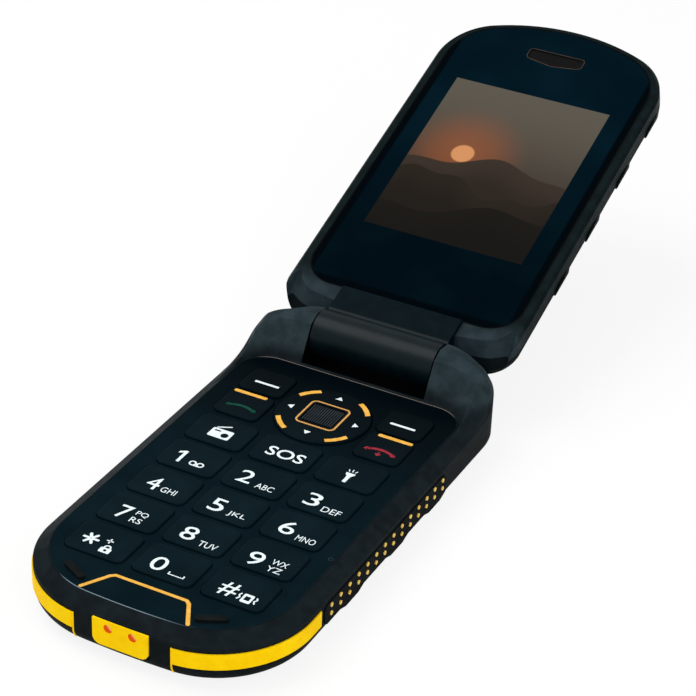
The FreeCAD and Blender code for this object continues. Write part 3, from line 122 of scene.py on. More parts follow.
class Finish:
    """A procedural material on Principled shading, measured in millimetres of object space."""

    SOCKETS = {"colour": "Base Color", "rough": "Roughness", "metal": "Metallic",
               "coat": "Coat Weight", "coat_rough": "Coat Roughness", "glow": "Emission Color",
               "glow_strength": "Emission Strength", "specular": "Specular IOR Level",
               "normal": "Normal"}

    def __init__(self, name, **sockets):
        self.material = bpy.data.materials.new(name)
        self.material.use_nodes = True
        self.tree = self.material.node_tree
        self.shader = self.tree.nodes["Principled BSDF"]
        coordinates = self.tree.nodes.new("ShaderNodeTexCoord")
        self.place = self.node("ShaderNodeMapping", {}, {
            "Vector": Value(self, coordinates.outputs["Object"]), "Scale": (1000.0, 1000.0, 1000.0)})
        self.set(**sockets)

    def node(self, kind, settings, inputs, output=0):
        """Add a node to the material and give one of its outputs."""
        sockets = {key: content.socket if isinstance(content, Value) else content
                   for key, content in inputs.items()}
        return Value(self, add_node(self.tree, kind, settings, sockets).outputs[output])

    def set(self, **sockets):
        for key, content in sockets.items():
            socket = self.shader.inputs[self.SOCKETS[key]]
            if isinstance(content, Value):
                self.tree.links.new(content.socket, socket)
            else:
                socket.default_value = (*content, 1.0) if isinstance(content, tuple) else content
        return self

    def noise(self, scale, detail=2.0, where=None):
        return self.node("ShaderNodeTexNoise", {}, {
            "Vector": where or self.place, "Scale": scale, "Detail": detail, "Roughness": 0.5})

    def grain(self, scale, strength, depth=0.02):
        """Moulded texture: a fine bump on the surface normal."""
        bump = self.node("ShaderNodeBump", {}, {
            "Height": self.noise(scale), "Strength": strength, "Distance": depth * MM})
        return self.set(normal=bump)

    def blend(self, factor, first, second):
        """Colour between two colours."""
        wide = [(*c, 1.0) if isinstance(c, tuple) else c for c in (first, second)]
        return self.node("ShaderNodeMix", {"data_type": "RGBA"},
                         {0: factor, 6: wide[0], 7: wide[1]}, output=2)

    def axes(self, where=None):
        split = self.node("ShaderNodeSeparateXYZ", {}, {"Vector": where or self.place})
        return [Value(self, socket) for socket in split.socket.node.outputs]

    def lid_axes(self):
        """Across, along and out of the lid, in millimetres from the screen's centre."""
        turned = Matrix.Rotation(-LID_RISE, 3, "X") @ HINGE
        shift = (-turned.x, -turned.y - SCREEN_CENTRE, -turned.z - LENS_LEVEL)
        where = self.node("ShaderNodeMapping", {}, {
            "Vector": self.place, "Rotation": (-LID_RISE, 0.0, 0.0), "Location": shift})
        return self.axes(where), where


def dress(finish, *names):
    for name in names:
        slots = nodes[name].data.materials
        slots.clear()
        slots.append(finish.material)


# Finishes
def srgb(*levels):
    """Linear colour for display levels from 0 to 255."""
    return tuple(((c / 255 + 0.055) / 1.055) ** 2.4 if c > 10 else c / 255 / 12.92 for c in levels)


def moulded(name, dark, light, rough, specular, scale, strength, zones=()):
    """Moulded plastic or rubber: fine texture, faint mottling and uneven gloss.

    A zone is a function that gives its share of the surface, then its two colours."""
    finish = Finish(name, specular=specular)
    mottle = finish.noise(0.35, 4.0).smooth(0.3, 0.7)
    colour = finish.blend(mottle, dark, light)
    for share, *tones in zones:
        colour = finish.blend(share(finish), colour, finish.blend(mottle, *tones))
    finish.set(colour=colour, rough=finish.noise(1.3, 3.0) * 0.14 + (rough - 0.07))
    return finish.grain(scale, strength)


def shoulder_highlight(finish):
    """Painted highlight: the shoulders' upper faces beside the hinge are painted paler than the rim,
    standing in for the light they catch.
    """
    _, _, height = finish.axes()
    return height.smooth(11.2, 14.0)


def hinge_pit_shade(finish):
    """Painted shade: the recess under the barrel is painted black."""
    x, y, _ = finish.axes()
    return (x.size() < 13.93) * (y > 39.2)


def lid_corner_highlight(finish):
    """Painted highlight: the scooped corners beside the neck are painted paler than the rim, standing
    in for the light on their sloping faces.
    """
    (across, along, _), _ = finish.lid_axes()
    return (1.0 - along.smooth(-44.0, -38.0)) * (across.size() > NECK_HALF)


def lid_neck(finish, until=-40.0):
    """Neck and barrel carry a darker paint."""
    (across, along, _), _ = finish.lid_axes()
    return (along < until) * (across.size() < NECK_HALF)


BLACK = srgb(2, 3, 4)
matte = moulded("matte_shell", srgb(14, 18, 20), srgb(20, 25, 27), 0.5, 0.02, 9.0, 0.14)
# Painted highlight on the shoulders' upper faces, and painted shade (black) in the hinge recess
rim = moulded("front_rim", srgb(17, 23, 26), srgb(25, 32, 35), 0.46, 0.01, 9.0, 0.12,
              [(shoulder_highlight, srgb(34, 45, 49), srgb(46, 58, 63)), (hinge_pit_shade, BLACK, BLACK)])
# Painted highlight on the lid's lower corners; the darker paint on neck and barrel is their own colour
paint = moulded("lid_frame_paint", srgb(8, 17, 19), srgb(14, 25, 27), 0.42, 0.02, 12.0, 0.10,
                [(lid_corner_highlight, srgb(32, 43, 48), srgb(42, 54, 59)),
                 (lid_neck, srgb(3, 15, 19), srgb(6, 20, 25))])
paint.set(coat=lid_neck(paint, -48.5) * 0.18, coat_rough=0.32)
flank = moulded("lid_shell_matte", srgb(7, 13, 15), srgb(12, 19, 21), 0.5, 0.02, 9.0, 0.14)
grip = moulded("grip_rubber", srgb(12, 15, 16), srgb(18, 22, 23), 0.75, 0.03, 14.0, 0.2)
bumper = moulded("bumper_rubber", srgb(252, 203, 2), srgb(255, 213, 6), 0.5, 0.02, 10.0, 0.08)
stud = moulded("stud_rubber", srgb(232, 190, 84), srgb(244, 208, 110), 0.5, 0.05, 14.0, 0.08)
wrap = moulded("battery_wrap", srgb(60, 60, 63), srgb(78, 78, 80), 0.5, 0.4, 8.0, 0.05)
silicone = moulded("membrane_silicone", srgb(38, 40, 42), srgb(48, 51, 52), 0.5, 0.2, 6.0, 0.05)
mask = moulded("board_mask", srgb(28, 85, 60), srgb(38, 101, 75), 0.35, 0.5, 5.0, 0.05)
# Also used for the painted highlight ring round the microphone hole
rib = moulded("rib_plastic", srgb(40, 46, 51), srgb(52, 59, 64), 0.5, 0.03, 14.0, 0.05)
black = Finish("pitch_black", colour=BLACK, rough=0.6, specular=0.02)


def polished(name, colour, lift, rough, specular, far_shade=None):
    """Hard gloss with a little haze and a few specks of dust in it; the optional far-end colour is
    painted shade that darkens it towards the far end.
    """
    finish = Finish(name, specular=specular)
    haze = finish.noise(0.12, 3.0)
    dust = finish.noise(5.0, 1.0).smooth(0.74, 0.80)
    base = finish.blend(haze.smooth(0.3, 0.7), colour, lift)
    # Painted shade: darker towards the far end
    if far_shade:
        _, y, _ = finish.axes()
        base = finish.blend(y.smooth(-5.0, 36.0) * 0.85, base, far_shade)
    speckled = finish.blend(dust * 0.35, base, srgb(52, 62, 66))
    return finish.set(colour=speckled, rough=finish.noise(0.5, 4.0) * 0.12 + (rough - 0.06))


# Painted shade: the plate and the keys darken towards the far end
FAR_END_SHADE = srgb(2, 6, 10)
plate = polished("keypad_plate_gloss", srgb(6, 22, 28), srgb(10, 27, 33), 0.24, 0.004, FAR_END_SHADE)
keycap = polished("keycap_gloss", srgb(7, 23, 29), srgb(11, 28, 34), 0.26, 0.008, FAR_END_SHADE)


def metal(name, colour, rough, scale=6.0):
    finish = Finish(name, metal=1.0)
    finish.set(colour=finish.blend(finish.noise(scale, 3.0).smooth(0.3, 0.7),
                                   tuple(0.85 * c for c in colour), colour),
               rough=finish.noise(2.0 * scale, 2.0) * 0.16 + (rough - 0.08))
    return finish


def printed(name, dark, light, scale=1.0):
    """Screen-printed ink, with slightly uneven cover."""
    finish = Finish(name, rough=0.5, specular=0.05)
    return finish.set(colour=finish.blend(finish.noise(scale, 3.0).smooth(0.3, 0.7), dark, light))


steel = metal("plain_steel", (0.55, 0.55, 0.56), 0.35)
tin = metal("tinned_can", (0.72, 0.72, 0.73), 0.3)
gold = printed("gold_print", srgb(228, 166, 62), srgb(244, 188, 88))
white = printed("white_print", srgb(222, 236, 240), srgb(238, 248, 251), 1.5)
green = printed("green_print", srgb(0, 58, 44), srgb(2, 70, 54))
red = printed("red_print", srgb(134, 36, 48), srgb(158, 48, 60))
bronze = printed("earpiece_bronze", srgb(58, 46, 40), srgb(74, 60, 50))
# Painted highlight: a pale line on the plate's edge at the chin and a brownish grey one at the end by
# the hinge; the sides stay dark
glint = Finish("plate_edge_highlight", rough=0.3, specular=0.02)
glint_x, glint_y, _ = glint.axes()
lit_span = glint_x.smooth(-20.0, -14.0) * (1.0 - glint_x.smooth(2.0, 14.0))
chin_highlight = (1.0 - glint_y.smooth(-47.2, -45.5)) * lit_span
sides_and_rear_highlight = glint.blend(glint_y.smooth(36.0, 37.6), srgb(14, 26, 31), srgb(106, 98, 92))
glint.set(colour=glint.blend(chin_highlight, sides_and_rear_highlight, srgb(118, 135, 146)))
# Painted shade and highlight: each contact is deep red-orange at its lower left and pale at its upper
# right corner
copper = Finish("copper_contacts", rough=0.4, specular=0.05)
contact_x, _, contact_z = copper.axes()
corner = (contact_x.size() - CONTACT_OFFSET) * contact_x.math("SIGN") + (contact_z - CONTACT_LEVEL)
copper.set(colour=copper.blend(corner.smooth(-0.1, 0.7), srgb(226, 78, 4), srgb(250, 196, 84)))
trim = Finish("pad_frame_gold", rough=0.4, specular=0.05)
frame_x, frame_y, _ = trim.axes()
reach = [(axis.size() - FRAME_CORNER).math("MAXIMUM", 0.0) for axis in (frame_x, frame_y - PAD_CENTRE)]
distance = (reach[0] * reach[0] + reach[1] * reach[1]).math("SQRT")
trim.set(colour=trim.blend(distance.smooth(0.90, 0.95), BLACK, srgb(214, 160, 90)))
flash = Finish("flash_diffuser", colour=srgb(238, 222, 172), rough=0.3, specular=0.5)
flash.grain(2.2, 0.5, 0.1)

mesh = Finish("ear_mesh", rough=0.6, specular=0.01)
(ear_x, ear_y, _), _ = mesh.lid_axes()
holes = (ear_x * 9.0).wave() * (ear_y * 9.0).wave()
mesh.set(colour=mesh.blend(holes.smooth(-0.1, 0.5), srgb(26, 25, 25), srgb(6, 9, 11)))

# Inner lens: tinted glass with a darker printed border, lit screen behind it
lens = Finish("lens_tint", rough=0.06, specular=0.006)
(across, along, _), lens_place = lens.lid_axes()
side, rise = across.size(), along.size()
in_screen = (side < SCREEN_HALF_WIDTH) * (rise < SCREEN_HALF_HEIGHT)
cloud = lens.noise(0.05, 2.0, lens_place).smooth(0.35, 0.65)
# Painted shade: the tint darkens towards the lower end of the lens
tint_and_shade = lens.blend(along.smooth(-34.0, 20.0), lens.blend(cloud, srgb(0, 10, 18), srgb(1, 15, 22)),
                  lens.blend(cloud, srgb(0, 18, 28), srgb(2, 23, 33)))
border = (side.smooth(22.2, 22.9) + (along * -1.0).smooth(39.4, 40.6)).math("MINIMUM", 1.0)
backing = lens.blend(in_screen, lens.blend(border, tint_and_shade, srgb(0, 5, 9)), BLACK)
# Screen picture: dusk over three soft ridges, each with height, pace, swing, start and colour
SUN = (-7.0, 2.0)
up = along / (2.0 * SCREEN_HALF_HEIGHT) + 0.5
sky = lens.blend(up.smooth(0.15, 1.0), srgb(52, 43, 36), srgb(94, 88, 78))
sun = ((across - SUN[0]).math("POWER", 2.0) + (along - SUN[1]).math("POWER", 2.0)).math("SQRT")
sky = lens.blend((1.0 - sun.smooth(2.0, 16.0)) * 0.5, sky, srgb(168, 92, 50))
picture = lens.blend(1.0 - sun.smooth(2.3, 2.8), sky, srgb(214, 148, 98))
RIDGES = ((-0.5, 0.13, 2.6, 1.1, srgb(60, 50, 43)), (-6.5, 0.19, 2.2, 3.6, srgb(44, 37, 31)),
          (-14.0, 0.11, 3.0, 0.2, srgb(29, 26, 22)))
for base, pace, swing, start, colour in RIDGES:
    crest = (across * pace + start).wave() * swing + (across * pace * 2.7 + start).wave() * 0.9 + base
    haze = lens.blend((crest - along).smooth(0.0, 9.0) * 0.45, colour, srgb(20, 18, 16))
    picture = lens.blend((crest - along).smooth(-0.15, 0.15), picture, haze)
lens.set(colour=backing, glow=lens.blend(in_screen, (0.0, 0.0, 0.0), picture), glow_strength=1.0)

outer_glass = polished("outer_glass", srgb(5, 9, 12), srgb(8, 13, 16), 0.1, 0.12)
panel = printed("display_panel", srgb(46, 47, 49), srgb(52, 53, 55), 0.2)

dress(rim, "front_shell")
dress(matte, "back_shell", "back_cover")
dress(flank, "lid_shell", "lid_grips")
dress(grip, "side_grips", "side_key", "usb_cover", "speaker_antenna", "hinge_cable",
      "earpiece", "camera")
dress(wrap, "battery")
dress(bumper, "corner_bumpers", "contact_plate")
dress(stud, "grip_studs")
dress(flash, "flash_light")
dress(paint, "lid_frame")
dress(steel, "vibration_motor", "side_connectors", "casing_screws", "hinge_bush", "hinge_module",
      "nav_gimbal", "lid_magnet", "hinge_cam", "lid_screws", "key_domes")
dress(tin, "board_cans")
dress(copper, "power_contacts")
dress(trim, "nav_frame")
dress(mask, "main_board", "lid_board")
dress(silicone, "key_membrane")
dress(mesh, "earpiece_mesh")
dress(lens, "lens_plate")
dress(outer_glass, "outer_lens")
dress(panel, "lid_displays")
dress(plate, "keypad_plate")
CAPPED = [name for name in nodes if name.endswith("_key") or name.startswith(("key_", "soft_"))]
NOT_CAPS = ("side_key", "key_membrane", "key_domes")
dress(keycap, "nav_ring", *[name for name in CAPPED if name not in NOT_CAPS])


# Printed marks and thin trim
INK = 0.012
PRINT_LIFT = 0.008
ROUND_TIP = ((0.0, 0.05), (0.13, 0.5), (0.5, 0.87))


def round_ends(points, cap):
    """Points and radii of a path whose two ends close like a round tip."""
    radii = [1.0] * len(points)
    for _ in range(2):
        tip = points[0]
        lead = (points[1] - tip).normalized() * cap
        start = [tip + lead * step for step, _ in ROUND_TIP]
        points = [*start, tip + lead, *points[1:]][::-1]
        radii = [*(size for _, size in ROUND_TIP), *radii][::-1]
    return points, radii


def add_line(curve, points, closed, cap=0.0):
    """Add a path to a curve, with round ends if it is an open bar."""
    points = [Vector((*point, 0.0)[:3]) for point in points]
    radii = [1.0] * len(points)
    if cap and not closed:
        points, radii = round_ends(points, cap)
    line = curve.splines.new("POLY")
    line.points.add(len(points) - 1)
    for spot, point, radius in zip(line.points, points, radii):
        spot.co = (*point, 1.0)
        spot.radius = radius
    line.use_cyclic_u = closed


class Trim:
    """Thin marks or beads for one body, drawn flat in millimetres and gathered into one mesh."""

    def __init__(self, name, finish, body, slot, place, level):
        self.name, self.finish, self.body, self.slot = name, finish, body, slot
        self.place, self.level = place, level
        self.mesh = bmesh.new()

    def add(self, curve, fit=None, flatten=1.0):
        """Turn a curve or text into mesh; fit = (left, right, low, high) stretches it to a box."""
        holder = bpy.data.objects.new("holder", curve)
        scene.collection.objects.link(holder)
        graph = bpy.context.evaluated_depsgraph_get()
        made = bpy.data.meshes.new_from_object(holder.evaluated_get(graph))
        bpy.data.objects.remove(holder)
        if fit:
            left, right, low, high = fit
            xs = [v.co.x for v in made.vertices]
            ys = [v.co.y for v in made.vertices]
            sx = (right - left) / (max(xs) - min(xs))
            sy = (high - low) / (max(ys) - min(ys))
            made.transform(Matrix.Translation((left - min(xs) * sx, low - min(ys) * sy, 0.0))
                           @ Matrix.Diagonal((sx, sy, 1.0, 1.0)))
        made.transform(Matrix.Diagonal((1.0, 1.0, flatten, 1.0)))
        self.mesh.from_mesh(made)
        bpy.data.meshes.remove(made)
        return self

    def text(self, words, left, right, low, high, weight):
        """Words stretched to a box; the weight thickens their strokes."""
        font = bpy.data.curves.new(self.name, "FONT")
        font.body = words
        font.offset = weight
        font.extrude = INK
        font.resolution_u = 4
        return self.add(font, (left, right, low, high))

    def bars(self, *spans, width, radius=0.0):
        """Straight printed bars: each span is (left, right, middle height)."""
        for left, right, y in spans:
            self.shape(box(left, right, y - width / 2, y + width / 2, radius))
        return self

    def shape(self, *outlines):
        """Filled outlines; one inside another is a hole."""
        curve = bpy.data.curves.new(self.name, "CURVE")
        curve.dimensions = "2D"
        curve.fill_mode = "BOTH"
        curve.extrude = INK
        for outline in outlines:
            add_line(curve, outline, True)
        return self.add(curve)

    def stroke(self, width, *paths, closed=False, thick=0.04):
        """Bars of even width with round ends, along paths of points."""
        curve = bpy.data.curves.new(self.name, "CURVE")
        curve.dimensions = "3D"
        curve.bevel_depth = width / 2
        curve.bevel_resolution = 3
        curve.use_fill_caps = True
        for path in paths:
            add_line(curve, path, closed, width / 2)
        return self.add(curve, flatten=thick / width)

    def done(self):
        """Place the marks on their surface and let them ride with it."""
        data = bpy.data.meshes.new(self.name)
        bmesh.ops.transform(self.mesh, verts=self.mesh.verts, matrix=Matrix.Scale(MM, 4) @ self.place
                            @ Matrix.Translation((0.0, 0.0, self.level)))
        self.mesh.to_mesh(data)
        self.mesh.free()
        data.materials.append(self.finish.material)
        piece = bpy.data.objects.new(self.name, data)
        scene.collection.objects.link(piece)
        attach(piece, self.body)
        return piece


def arc(x, y, radius, first=0.0, last=360.0, steps=24):
    """Points on an arc, angles in degrees."""
    angles = [math.radians(first + (last - first) * i / steps) for i in range(steps + 1)]
    return [(x + radius * math.cos(a), y + radius * math.sin(a)) for a in angles]


def ring(x, y, radius, steps=24):
    return arc(x, y, radius, 0.0, 360.0 - 360.0 / steps, steps - 1)


def box(left, right, low, high, radius=0.0):
    """Rectangle with round corners."""
    if not radius:
        return [(left, low), (right, low), (right, high), (left, high)]
    corners = ((right - radius, low + radius, -90), (right - radius, high - radius, 0),
               (left + radius, high - radius, 90), (left + radius, low + radius, 180))
    return [point for x, y, angle in corners for point in arc(x, y, radius, angle, angle + 90, 5)]


def key_print(key, finish=white, kind="print"):
    """Marks on top of one key."""
    return Trim(f"{key}_{kind}", finish, f"{key}_body", "key_gloss", PAD_PLACE, KEY_TOP + PRINT_LIFT)


# Legends, measured from the centre of the four-way pad
FIRST_ROW = -28.2
COLUMNS = ((-17.8, -15.2, -14.1, -10.9), (-4.4, -1.4, 0.4, 4.1), (10.2, 13.3, 14.7, 18.6))
LETTERS = {2: "ABC", 3: "DEF", 4: "GHI", 5: "JKL", 6: "MNO", 8: "TUV"}
PAIRS = {7: ("PQ", "RS"), 9: ("WX", "YZ")}
# Shift of each digit off the even grid, then of its letters
PRINT_OFFSETS = {1: (-0.2, 0.0, -0.1, 0.2), 2: (0.5, 0.25, 0.1, -0.1), 3: (0.35, 0.0, 0.1, -0.6),
                 4: (0.4, 0.0, 0.1, 0.2), 5: (0.6, -0.1, 0.1, -0.2), 6: (0.65, 0.15, 0.4, -0.5),
                 7: (0.55, -0.3, 0.1, -0.1), 8: (0.75, 0.0, 0.4, -0.5), 9: (0.25, -0.65, 0.1, -0.5)}
for number in range(1, 10):
    row, column = divmod(number - 1, 3)
    digit_x, digit_y, word_x, word_y = PRINT_OFFSETS[number]
    left, right, near, far = COLUMNS[column]
    left, right, near, far = left + digit_x, right + digit_x, near + word_x, far + word_x
    row_base = FIRST_ROW - ROW_PITCH * row
    foot, base = row_base + digit_y, row_base + word_y
    marks = key_print(f"key_{number}")
    if number == 1:
        marks.shape([(left + 1.35, foot), (left + 2.0, foot), (left + 2.0, foot + 4.0),
                     (left + 1.5, foot + 4.0), (left + 0.4, foot + 3.35), (left + 0.4, foot + 2.75),
                     (left + 1.35, foot + 3.25)])
        marks.stroke(0.36, ring(near + 0.8, base + 0.8, 0.62), ring(far - 0.8, base + 0.8, 0.62),
                     closed=True)
        marks.stroke(0.36, [(near + 0.8, base + 0.18), (far - 0.8, base + 0.18)])
    else:
        marks.text(str(number), left, right, foot, foot + 4.05, 0.002)
    if number in LETTERS:
        marks.text(LETTERS[number], near, far, base, base + 1.68, 0.0)
    if number in PAIRS:
        upper, lower = PAIRS[number]
        marks.text(upper, near + 0.2, far - 0.5, base + 1.85, base + 3.4, 0.0)
        marks.text(lower, near + 0.2, far - 0.7, base - 0.3, base + 1.25, 0.0)
    marks.done()

star = key_print("key_star")
arms = [(1.75 * math.cos(a), 1.75 * math.sin(a)) for a in (0.0, math.pi / 3, 2 * math.pi / 3)]
star.stroke(0.6, *[[(-16.6 + x, -57.4 + y), (-16.6 - x, -57.4 - y)] for x, y in arms])
star.bars((-13.8, -12.4, -56.5), width=0.3)
star.shape(box(-13.25, -12.95, -57.2, -55.8))
star.shape(box(-13.6, -11.4, -60.1, -58.6, 0.25), ring(-12.5, -59.35, 0.34, 12))
star.stroke(0.34, [(-13.1, -58.7)] + arc(-12.5, -58.45, 0.6, 180.0, 0.0, 8)[1:-1] + [(-11.9, -58.7)])
star.done()

zero = key_print("key_0")
zero.text("0", -3.55, -0.45, -59.75, -55.75, 0.002)
zero.stroke(0.34, [(0.9, -58.8), (0.9, -59.55), (3.9, -59.55), (3.9, -58.8)])
zero.done()

hash_mark = key_print("key_hash")
hash_mark.text("#", 10.7, 14.2, -59.95, -56.05, 0.004)
hash_mark.shape(box(15.6, 17.6, -60.1, -57.6, 0.3), box(16.05, 17.15, -59.4, -58.2))
for x, way in ((15.1, -1), (18.1, 1)):
    hash_mark.stroke(0.34, [(x, -57.8), (x + 0.3 * way, -58.4), (x - 0.05 * way, -59.0),
                            (x + 0.3 * way, -59.7)])
hash_mark.done()

radio = key_print("radio_key")
radio.shape(box(-16.3, -11.7, -17.3, -14.2, 0.4), ring(-13.0, -16.0, 0.8, 18),
            box(-15.7, -14.4, -15.2, -14.75))
radio.stroke(0.36, [(-15.8, -14.0), (-13.1, -12.6)])
radio.done()

sos = key_print("sos_key")
sos.text("SOS", -3.6, 4.35, -17.25, -14.15, 0.012)
sos.done()

torch = key_print("torch_key")
torch.shape([(13.75, -18.2), (14.45, -18.2), (14.5, -16.1), (15.05, -15.3), (15.05, -14.9),
             (13.15, -14.9), (13.15, -15.3), (13.7, -16.1)])
torch.stroke(0.24, [(13.5, -14.5), (13.2, -13.8)], [(14.1, -14.5), (14.1, -13.6)],
             [(14.7, -14.5), (15.0, -13.8)])
torch.done()

for key, name, way, finish in (("soft_left", "call_key", -1, green), ("soft_right", "end_key", 1, red)):
    soft_span, line_span = sorted((way * 12.5, way * 17.9)), sorted((way * 12.4, way * 19.8))
    middle = way * 15.4
    key_print(key).bars((*soft_span, 4.65), width=0.62, radius=0.12).done()
    key_print(name, gold, "line").bars((*line_span, -0.25), width=0.92, radius=0.35).done()
    handset = key_print(name, finish)
    handset.shape(arc(middle, -9.6, 5.1, 120.0, 60.0, 14) + arc(middle, -10.6, 5.38, 62.0, 118.0, 14))
    for x, tilt in ((middle - 2.75, 0.25), (middle + 2.75, -0.25)):
        handset.stroke(1.4, [(x - 0.4, -5.55 - tilt), (x + 0.4, -5.55 + tilt)])
    if way > 0:
        handset.stroke(0.4, [(middle - 0.55, -6.3), (middle, -7.0), (middle + 0.55, -6.3)])
        handset.stroke(0.4, [(middle, -5.7), (middle, -6.9)])
    handset.done()

pad = Trim("pad_arcs", gold, "nav_ring_body", "key_gloss", PAD_PLACE, RING_TOP + PRINT_LIFT)
for angle in (45, 135, 225, 315):
    pad.shape(arc(0.0, 0.0, 9.3, angle - 14.5, angle + 14.5, 12)
              + arc(0.0, 0.0, 8.3, angle + 15.5, angle - 15.5, 12))
pad.done()
arrows = Trim("pad_arrows", white, "nav_ring_body", "key_gloss", PAD_PLACE, RING_TOP + PRINT_LIFT)
ARROW_HEAD = ((-0.78, -0.5), (0.78, -0.5), (0.0, 0.66))
for x, y, turn in ((0.0, 7.2, 0), (-7.2, 0.0, 90), (0.0, -6.8, 180), (7.2, 0.0, 270)):
    spin = Matrix.Rotation(math.radians(turn), 2)
    arrows.shape([Vector((x, y)) + spin @ Vector(point) for point in ARROW_HEAD])
arrows.done()

centre = Trim("centre_key_ribs", rib, "ok_key_body", "key_gloss", PAD_PLACE, RING_TOP - 0.02)
centre.stroke(0.28, *[[(0.52 * i, -2.95), (0.52 * i, 2.95)] for i in range(-6, 7)], thick=0.24).done()
ground = Trim("centre_key_face", black, "ok_key_body", "key_gloss", PAD_PLACE, RING_TOP - 0.06)
ground.shape(box(-3.45, 3.45, -3.45, 3.45, 0.6)).done()

foot_line = Trim("plate_foot_line", gold, "base", "plate_gloss", PAD_PLACE, PLATE_TOP + PRINT_LIFT)
foot_line.stroke(0.8, [(-11.0, -70.15), (-7.9, -64.75), (-7.1, -64.1),
                       (7.5, -64.1), (8.3, -64.75), (11.3, -70.15)])
foot_line.done()


def phone_outline(half, tip, root, end_round, root_round, crown, inset=0.0):
    """Outline used all over the phone, drawn in by an inset: crowned end above, straight root below."""
    half, tip, root = half - inset, tip - inset, root + inset
    end_round, root_round, crown = end_round - inset, root_round - inset, crown - inset
    centre = tip - crown
    rise = math.sqrt((crown - end_round) ** 2 - (half - end_round) ** 2)
    lean = math.degrees(math.atan2(rise, half - end_round))
    corner = (half - end_round, centre + rise)
    points = arc(half - root_round, root + root_round, root_round, -90.0, 0.0, 12)
    points += arc(*corner, end_round, 0.0, lean, 16)
    points += arc(0.0, centre, crown, lean, 180.0 - lean, 24)[1:-1]
    points += arc(-corner[0], corner[1], end_round, 180.0 - lean, 180.0, 16)
    return points + arc(root_round - half, root + root_round, root_round, 180.0, 270.0, 12)


PLATE = dict(half=24.45, tip=48.05, root=-38.3, end_round=16.15, root_round=6.5, crown=157.15)
LENS = dict(half=24.2, tip=97.8, root=11.3, end_round=12.4, root_round=7.0, crown=44.4)

# The plate's outline has its crowned end at the chin
TOWARDS_CHIN = Matrix.Scale(-1.0, 4, (0.0, 1.0, 0.0))
# A thin bead round the plate carries the painted edge highlight
bead = Trim("plate_edge_bead", glint, "base", "plate_gloss", TOWARDS_CHIN, PLATE_TOP)
bead.stroke(0.2, phone_outline(**PLATE, inset=0.16), closed=True, thick=0.14).done()

# Painted highlight: a pale ring round the microphone hole stands in for the light on its edge
microphone = Trim("microphone_rim_highlight", rib, "base", "plate_gloss", Matrix.Identity(4), PLATE_TOP + 0.01)
microphone.stroke(0.16, ring(*MICROPHONE, 0.42, 16), closed=True, thick=0.06).done()

# Yellow joint lines run down the chin from the inner ends of the bumpers
chin = Trim("bumper_joint_lines", bumper, "base", "rubber_yellow", Matrix.Identity(4), 0.0)
for way in (-1, 1):
    line = []
    for level in (8.1, 7.0, 6.0, 5.0, 4.2, 3.4, 2.7, 2.1):
        start = Vector((way * JOINT_LINE, -60.0, level)) * MM
        hits = [nodes[name].ray_cast(nodes[name].matrix_world.inverted() @ start, (0.0, 1.0, 0.0))
                for name in ("back_shell", "corner_bumpers")]
        front = min(point.y for found, point, _, _ in hits if found)
        line.append((start.x / MM, front / MM - 0.02, level))
    chin.stroke(0.34, line, thick=0.34)
chin.done()

ear = Trim("earpiece_rim", bronze, "lid", "lens_glass", LID_PLACE, LENS_LEVEL + 0.01)
right_half = [(0.0, -2.6), (6.0, -1.6), (6.6, -0.9), (6.6, 1.0), (6.1, 1.6)]
left_half = [(-x, y) for x, y in reversed(right_half[1:])]
slot_edge = [(x, EAR_LEVEL + y) for x, y in right_half + left_half]
ear.stroke(0.2, slot_edge, closed=True, thick=0.06).done()
eye = Trim("camera_rim", steel, "lid", "can_metal", LID_PLACE, LID_BACK + 0.74)
eye.stroke(0.22, ring(0.0, CAMERA_LEVEL, 3.15, 32), closed=True, thick=0.08)
eye.stroke(0.18, ring(0.0, CAMERA_LEVEL, 1.3, 24), closed=True, thick=0.08).done()
edge = Trim("lens_edge", black, "lid", "lens_glass", LID_PLACE, LENS_LEVEL)
edge.stroke(0.34, phone_outline(**LENS, inset=0.05), closed=True, thick=0.06).done()
rim_line = Trim("lens_rim_line", paint, "lid", "frame_grey", LID_PLACE, LENS_LEVEL + 0.01)
rim_line.stroke(0.22, phone_outline(**LENS, inset=-0.28), closed=True, thick=0.08).done()

# Floor
bpy.ops.mesh.primitive_plane_add(size=4.0)
floor = bpy.context.object
floor.name = "floor"
paper = Finish("floor_paper", colour=(0.94, 0.94, 0.94), rough=0.95, specular=0.0)
floor.data.materials.append(paper.material)
sight = add_node(paper.tree, "ShaderNodeLightPath", {}, {})
share = Value(paper, sight.outputs["Is Camera Ray"]) * 0.86
glow = add_node(paper.tree, "ShaderNodeEmission", {}, {})
mixed = add_node(paper.tree, "ShaderNodeMixShader", {}, {
    0: share.socket, 1: paper.shader.outputs[0], 2: glow.outputs[0]})
paper.tree.links.new(mixed.outputs[0], paper.tree.nodes["Material Output"].inputs["Surface"])

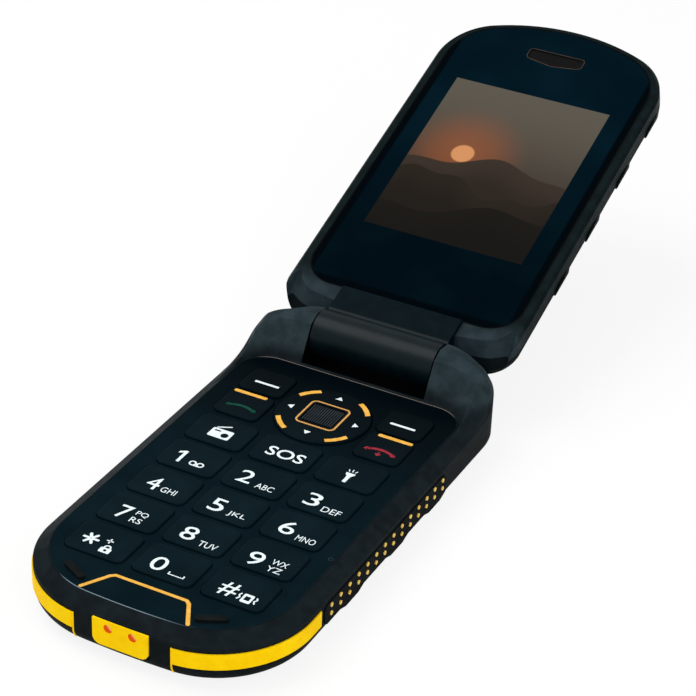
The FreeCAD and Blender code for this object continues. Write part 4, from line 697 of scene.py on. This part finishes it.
# World: white where it is seen, softer as a light
world = bpy.data.worlds.new("studio")
scene.world = world
world.use_nodes = True
tree = world.node_tree
rays = add_node(tree, "ShaderNodeLightPath", {}, {}).outputs
seen = add_node(tree, "ShaderNodeMath", {"operation": "MAXIMUM"}, {
    0: rays["Is Camera Ray"], 1: rays["Is Glossy Ray"]})
seen = add_node(tree, "ShaderNodeMath", {"operation": "MAXIMUM"}, {
    0: seen.outputs[0], 1: rays["Is Transmission Ray"]})
level = add_node(tree, "ShaderNodeMapRange", {}, {
    "Value": seen.outputs[0], "To Min": 0.5, "To Max": 1.0})
background = tree.nodes["Background"]
background.inputs["Color"].default_value = (1.0, 1.0, 1.0, 1.0)
tree.links.new(level.outputs[0], background.inputs["Strength"])


def softbox(name, spot, target, width, height, power):
    light = bpy.data.lights.new(name, "AREA")
    light.shape = "RECTANGLE"
    light.size, light.size_y = width, height
    light.energy = power
    lamp = bpy.data.objects.new(name, light)
    lamp.location = spot
    lamp.rotation_euler = (Vector(target) - Vector(spot)).to_track_quat("-Z", "Y").to_euler()
    scene.collection.objects.link(lamp)


softbox("key_light", (-0.30, -0.05, 0.62), (0, 0.03, 0.01), 0.5, 0.5, 3.0)
softbox("fill_light", (0.45, -0.25, 0.40), (0, 0.03, 0.01), 0.4, 0.3, 1.2)

# Camera: fitted to the picture, lengths in its pixels
FOCAL_LENGTH = 2378.0
PICTURE_WIDTH = 696.0
RIGHT = Vector((0.884619, 0.464885, 0.036502))
DOWN = Vector((0.267293, -0.441368, -0.856591))
VIEW = Vector((-0.382105, 0.767513, -0.514703))
camera_data = bpy.data.cameras.new("camera")
camera_data.sensor_width = 36.0
camera_data.lens = 36.0 * FOCAL_LENGTH / PICTURE_WIDTH
camera = bpy.data.objects.new("camera", camera_data)
pose = Matrix((RIGHT, -DOWN, -VIEW)).transposed().to_4x4()
pose.translation = Vector((0.17905, -0.32694, 0.26323))
camera.matrix_world = pose
scene.collection.objects.link(camera)
scene.camera = camera
scene.view_settings.view_transform = "Standard"
